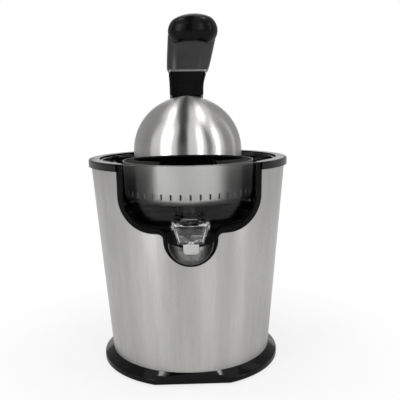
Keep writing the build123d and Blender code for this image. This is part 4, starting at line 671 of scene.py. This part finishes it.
class PRESS_OT_clear(bpy.types.Operator):
    """Makes the bowl and spout clear and the outlet tip white"""

    bl_idname = "press.clear"
    bl_label = "Finish the clear bowl and spout"

    def execute(self, context):
        looks = context.scene.press_finishes
        give(clear_plastic("clear_bowl", tuple(looks.clear), 0.30, 0.02, 0.02), "juice_bowl")
        give(clear_plastic("clear_spout", tuple(looks.clear), 1.0, 0.03, 0.08), "flip_spout")
        white = satin_plastic("white_tip", tuple(looks.white), 0.45, 1600.0, 0.1, 1.08)
        give(white, "spout_tip", "drive_gear", "switch_plunger")
        return {"FINISHED"}


class PRESS_OT_edges(bpy.types.Operator):
    """Rounds the hard edges of the skirt, hinge bracket, spout and tip"""

    bl_idname = "press.edges"
    bl_label = "Ease the moulded edges"

    def execute(self, context):
        eased_copy("base_skirt", "body", 0.0006)
        eased_copy("hinge_bracket", "body", 0.0008, 3)
        eased_copy("flip_spout", "spout", 0.0005)
        tip = eased_copy("spout_tip", "spout", 0.0022, 4)
        low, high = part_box("spout_tip")
        hold = ((low[0] + high[0]) / 2, (low[1] + high[1]) / 2, low[2] + TIP_HOLD * (high[2] - low[2]))
        start_edit(tip)
        bpy.ops.transform.resize(value=TIP_SHARE, center_override=hold)
        bpy.ops.object.mode_set(mode="OBJECT")
        return {"FINISHED"}


class PRESS_OT_works(bpy.types.Operator):
    """Finishes the motor, drive, switch, fasteners and bright trim"""

    bl_idname = "press.works"
    bl_label = "Finish the works and trim"

    def execute(self, context):
        zinc = plain_metal("zinc_plate", (0.52, 0.53, 0.55, 1.0), 0.34)
        give(
            zinc, "gear_plate", "gear_plate_posts", "gear_plate_screws", "bottom_screws", "ring_screws",
            "gear_clip", "motor_brackets", "motor_rods", "motor_spacers", "switch_bracket", "dome_screw",
            "arm_screws", "hinge_screws", "return_spring",
        )
        squashed_spring()
        give(plain_metal("ground_shaft", (0.58, 0.58, 0.58, 1.0), 0.2), "spindle", "hinge_pin", "spout_pins")
        stack = plain_metal("stacked_sheet", (0.30, 0.29, 0.28, 1.0), 0.45, 15.0, 2200.0)
        give(stack, "motor_core", "motor_rotor")
        give(plain_metal("bearing_bronze", (0.52, 0.36, 0.17, 1.0), 0.32), "plate_bush", "spindle_bush")
        give(plain_metal("cut_brass", (0.62, 0.45, 0.19, 1.0), 0.28), "motor_bearings", "drive_pinion")
        give(plain_metal("terminal_brass", (0.66, 0.50, 0.22, 1.0), 0.25), "switch_terminals")
        copper = plain_metal("wound_copper", (0.55, 0.22, 0.09, 1.0), 0.3, 30.0, 1500.0)
        give(copper, "motor_coils", "armature_winding")
        give(plain_metal("bright_trim", (0.25, 0.25, 0.26, 1.0), 0.30, 20.0, 300.0), "trim_ring")
        give(satin_plastic("pressed_carbon", (0.03, 0.03, 0.03, 1.0), 0.5), "carbon_brushes")
        return {"FINISHED"}


class PRESS_OT_stage(bpy.types.Operator):
    """Lays the floor and sets the lamps and camera"""

    bl_idname = "press.stage"
    bl_label = "Set the stage"

    def execute(self, context):
        stage = context.scene.press_stage
        lay_floor(stage)
        light_sky(context.scene, stage)
        for name, azimuth, distance, height, width, tall, power in LAMPS:
            add_lamp(name, azimuth, distance, height, width, tall, getattr(stage, power))
        for name, azimuth, width, tone in FLAGS:
            stand_flag(name, azimuth, width, tone)
        add_card("overhead_flag", *OVERHEAD_FLAG)
        add_camera(context.scene, stage)
        context.scene.view_settings.view_transform = "Standard"
        return {"FINISHED"}


def lay_floor(stage):
    """Pale floor that keeps a soft shadow near the press and runs out to white."""
    bpy.ops.object.select_all(action="DESELECT")
    bpy.ops.mesh.primitive_plane_add(size=30.0, location=(0, 0, 0))
    floor = bpy.context.object
    floor.name = "floor"
    material = bpy.data.materials.new("pale_floor")
    material.use_nodes = True
    tree = material.node_tree
    tree.nodes.clear()
    tone = stage.floor_tone
    paint = add_node(tree, "ShaderNodeBsdfDiffuse", (0, 100), Color=(tone, tone, tone, 1.0))
    glow = add_node(tree, "ShaderNodeEmission", (0, -100), Color=(1, 1, 1, 1), Strength=1.0)
    rays = add_node(tree, "ShaderNodeLightPath", (-700, 400))
    seen = add_node(tree, "ShaderNodeMath", (-500, 400), operation="MAXIMUM")
    place = add_node(tree, "ShaderNodeTexCoord", (-900, 100))
    away = add_node(tree, "ShaderNodeVectorMath", (-700, 100), operation="LENGTH")
    fade = add_node(tree, "ShaderNodeMapRange", (-500, 100), From_Min=0.10, From_Max=0.26, To_Min=0.76)
    bright = add_node(tree, "ShaderNodeMath", (-250, 300), operation="MULTIPLY")
    mix = add_node(tree, "ShaderNodeMixShader", (250, 0))
    output = add_node(tree, "ShaderNodeOutputMaterial", (450, 0))
    tree.links.new(rays.outputs["Is Camera Ray"], seen.inputs[0])
    tree.links.new(rays.outputs["Is Transmission Ray"], seen.inputs[1])
    tree.links.new(place.outputs["Object"], away.inputs[0])
    tree.links.new(away.outputs["Value"], fade.inputs["Value"])
    tree.links.new(seen.outputs[0], bright.inputs[0])
    tree.links.new(fade.outputs[0], bright.inputs[1])
    tree.links.new(bright.outputs[0], mix.inputs[0])
    tree.links.new(paint.outputs[0], mix.inputs[1])
    tree.links.new(glow.outputs[0], mix.inputs[2])
    tree.links.new(mix.outputs[0], output.inputs["Surface"])
    floor.data.materials.append(material)


def light_sky(scene, stage):
    """Soft light from all round, white to the camera and in metal and glass."""
    world = bpy.data.worlds.new("studio")
    scene.world = world
    world.use_nodes = True
    tree = world.node_tree
    tree.nodes.clear()
    soft = add_node(tree, "ShaderNodeBackground", (0, 100), Color=(1, 1, 1, 1), Strength=stage.sky)
    white = add_node(tree, "ShaderNodeBackground", (0, -100), Color=(1, 1, 1, 1), Strength=1.0)
    rays = add_node(tree, "ShaderNodeLightPath", (-600, 300))
    seen = add_node(tree, "ShaderNodeMath", (-400, 300), operation="MAXIMUM")
    shown = add_node(tree, "ShaderNodeMath", (-200, 300), operation="MAXIMUM")
    mix = add_node(tree, "ShaderNodeMixShader", (250, 0))
    output = add_node(tree, "ShaderNodeOutputWorld", (450, 0))
    tree.links.new(rays.outputs["Is Camera Ray"], seen.inputs[0])
    tree.links.new(rays.outputs["Is Glossy Ray"], seen.inputs[1])
    tree.links.new(seen.outputs[0], shown.inputs[0])
    tree.links.new(rays.outputs["Is Transmission Ray"], shown.inputs[1])
    tree.links.new(shown.outputs[0], mix.inputs[0])
    tree.links.new(soft.outputs[0], mix.inputs[1])
    tree.links.new(white.outputs[0], mix.inputs[2])
    tree.links.new(mix.outputs[0], output.inputs["Surface"])


# Name, azimuth in degrees, then distance, height, width and length in metres, and power of each lamp
LAMPS = (
    ("key_lamp", -48, 1.2, 0.70, 0.45, 1.0, "key_power"),
    ("strip_lamp", 26, 1.2, 0.70, 0.20, 1.0, "strip_power"),
    ("side_lamp", 66, 1.2, 0.60, 0.12, 1.0, "strip_power"),
    ("top_left_lamp", -95, 0.52, 1.50, 0.10, 0.22, "top_power"),
    ("top_right_lamp", 88, 0.47, 1.50, 0.10, 0.22, "top_power"),
)
# Name, azimuth to the right of the front in degrees, width in metres and grey level of each dark card
FLAGS = (
    ("middle_flag", -12, 0.50, 0.01),
    ("right_flag", 46, 0.28, 0.12),
    ("far_right_flag", 96, 0.60, 0.35),
    ("far_left_flag", -102, 0.80, 0.35),
    ("rear_right_flag", 142, 1.10, 0.40),
    ("rear_left_flag", -144, 1.10, 0.40),
)
FLAG_DISTANCE, FLAG_LOW, FLAG_HIGH = 1.25, 0.2, 1.9
# Place, turn, size and grey level of the card overhead
OVERHEAD_FLAG = (-0.23, -0.10, 1.9), (0.0, 0.0, 0.0), (0.62, 2.2, 1.0), 0.03


def around(azimuth, distance, height):
    """Point round the press, from the front towards the right."""
    turn = radians(azimuth)
    return Vector((distance * sin(turn), -distance * cos(turn), height))


def aimed(place, target):
    """Turn that points a lamp's face from a place to a target."""
    return (Vector(target) - Vector(place)).to_track_quat("-Z", "Y").to_euler()


def add_lamp(name, azimuth, distance, height, width, tall, power):
    """Soft rectangular lamp that faces the press."""
    place = around(azimuth, distance, height)
    bpy.ops.object.select_all(action="DESELECT")
    bpy.ops.object.light_add(type="AREA", location=place, rotation=aimed(place, (0, 0, 0.18)))
    lamp = bpy.context.object
    lamp.name = name
    lamp.data.shape = "RECTANGLE"
    lamp.data.size = width
    lamp.data.size_y = tall
    lamp.data.energy = power
    return lamp


def stand_flag(name, azimuth, width, tone):
    """Tall dark card that only the metal and gloss see, as a photographer sets one."""
    middle = (FLAG_LOW + FLAG_HIGH) / 2
    place = around(azimuth, FLAG_DISTANCE, middle)
    add_card(name, place, aimed(place, (0, 0, middle)), (width, FLAG_HIGH - FLAG_LOW, 1.0), tone)


def add_card(name, place, turn, size, tone):
    """Dark card that shows in reflections alone."""
    bpy.ops.object.select_all(action="DESELECT")
    bpy.ops.mesh.primitive_plane_add(size=1.0, location=place, rotation=turn)
    flag = bpy.context.object
    flag.name = name
    flag.scale = size
    material = bpy.data.materials.new(name)
    material.use_nodes = True
    tree = material.node_tree
    tree.nodes.clear()
    glow = add_node(tree, "ShaderNodeEmission", (0, 0), Color=(tone, tone, tone, 1.0), Strength=1.0)
    output = add_node(tree, "ShaderNodeOutputMaterial", (200, 0))
    tree.links.new(glow.outputs[0], output.inputs["Surface"])
    flag.data.materials.append(material)
    flag.visible_camera = False
    flag.visible_diffuse = False
    flag.visible_transmission = False
    flag.visible_shadow = False


def add_camera(scene, stage):
    """Camera at the viewing angle that was fitted to the outlines of the press."""
    yaw, pitch, roll = stage.camera_yaw, stage.camera_pitch, stage.camera_roll
    forward = Vector((sin(yaw) * cos(pitch), cos(yaw) * cos(pitch), -sin(pitch)))
    level = Vector((cos(yaw), -sin(yaw), 0.0))
    upright = level.cross(forward)
    right = level * cos(roll) + upright * sin(roll)
    up = upright * cos(roll) - level * sin(roll)
    turn = Matrix((right, up, -forward)).transposed().to_4x4()
    bpy.ops.object.camera_add()
    camera = bpy.context.object
    camera.name = "photo_camera"
    camera.matrix_world = Matrix.Translation(stage.camera_place) @ turn
    camera.data.sensor_width = 36.0
    camera.data.lens = stage.lens
    camera.data.clip_start = 0.01
    scene.camera = camera


# Panel and registration

class PRESS_PT_panel(bpy.types.Panel):
    """Lists the steps that dress the press"""

    bl_idname = "PRESS_PT_panel"
    bl_label = "Citrus Press"
    bl_space_type = "VIEW_3D"
    bl_region_type = "UI"
    bl_category = "Citrus Press"

    def draw(self, context):
        column = self.layout.column()
        for step in STEPS:
            column.operator(step.bl_idname)
        for settings in (context.scene.press_finishes, context.scene.press_stage):
            for name in settings.__annotations__:
                column.prop(settings, name)


STEPS = (PRESS_OT_steel, PRESS_OT_black, PRESS_OT_clear, PRESS_OT_edges, PRESS_OT_works, PRESS_OT_stage)
CLASSES = (PressFinishes, PressStage) + STEPS + (PRESS_PT_panel,)


def register():
    for entry in CLASSES:
        bpy.utils.register_class(entry)
    bpy.types.Scene.press_finishes = PointerProperty(type=PressFinishes)
    bpy.types.Scene.press_stage = PointerProperty(type=PressStage)


def unregister():
    del bpy.types.Scene.press_stage
    del bpy.types.Scene.press_finishes
    for entry in reversed(CLASSES):
        bpy.utils.unregister_class(entry)


def main():
    register()
    bpy.ops.press.steel()
    bpy.ops.press.black()
    bpy.ops.press.clear()
    bpy.ops.press.edges()
    bpy.ops.press.works()
    bpy.ops.press.stage()


if __name__ == "__main__":
    main()
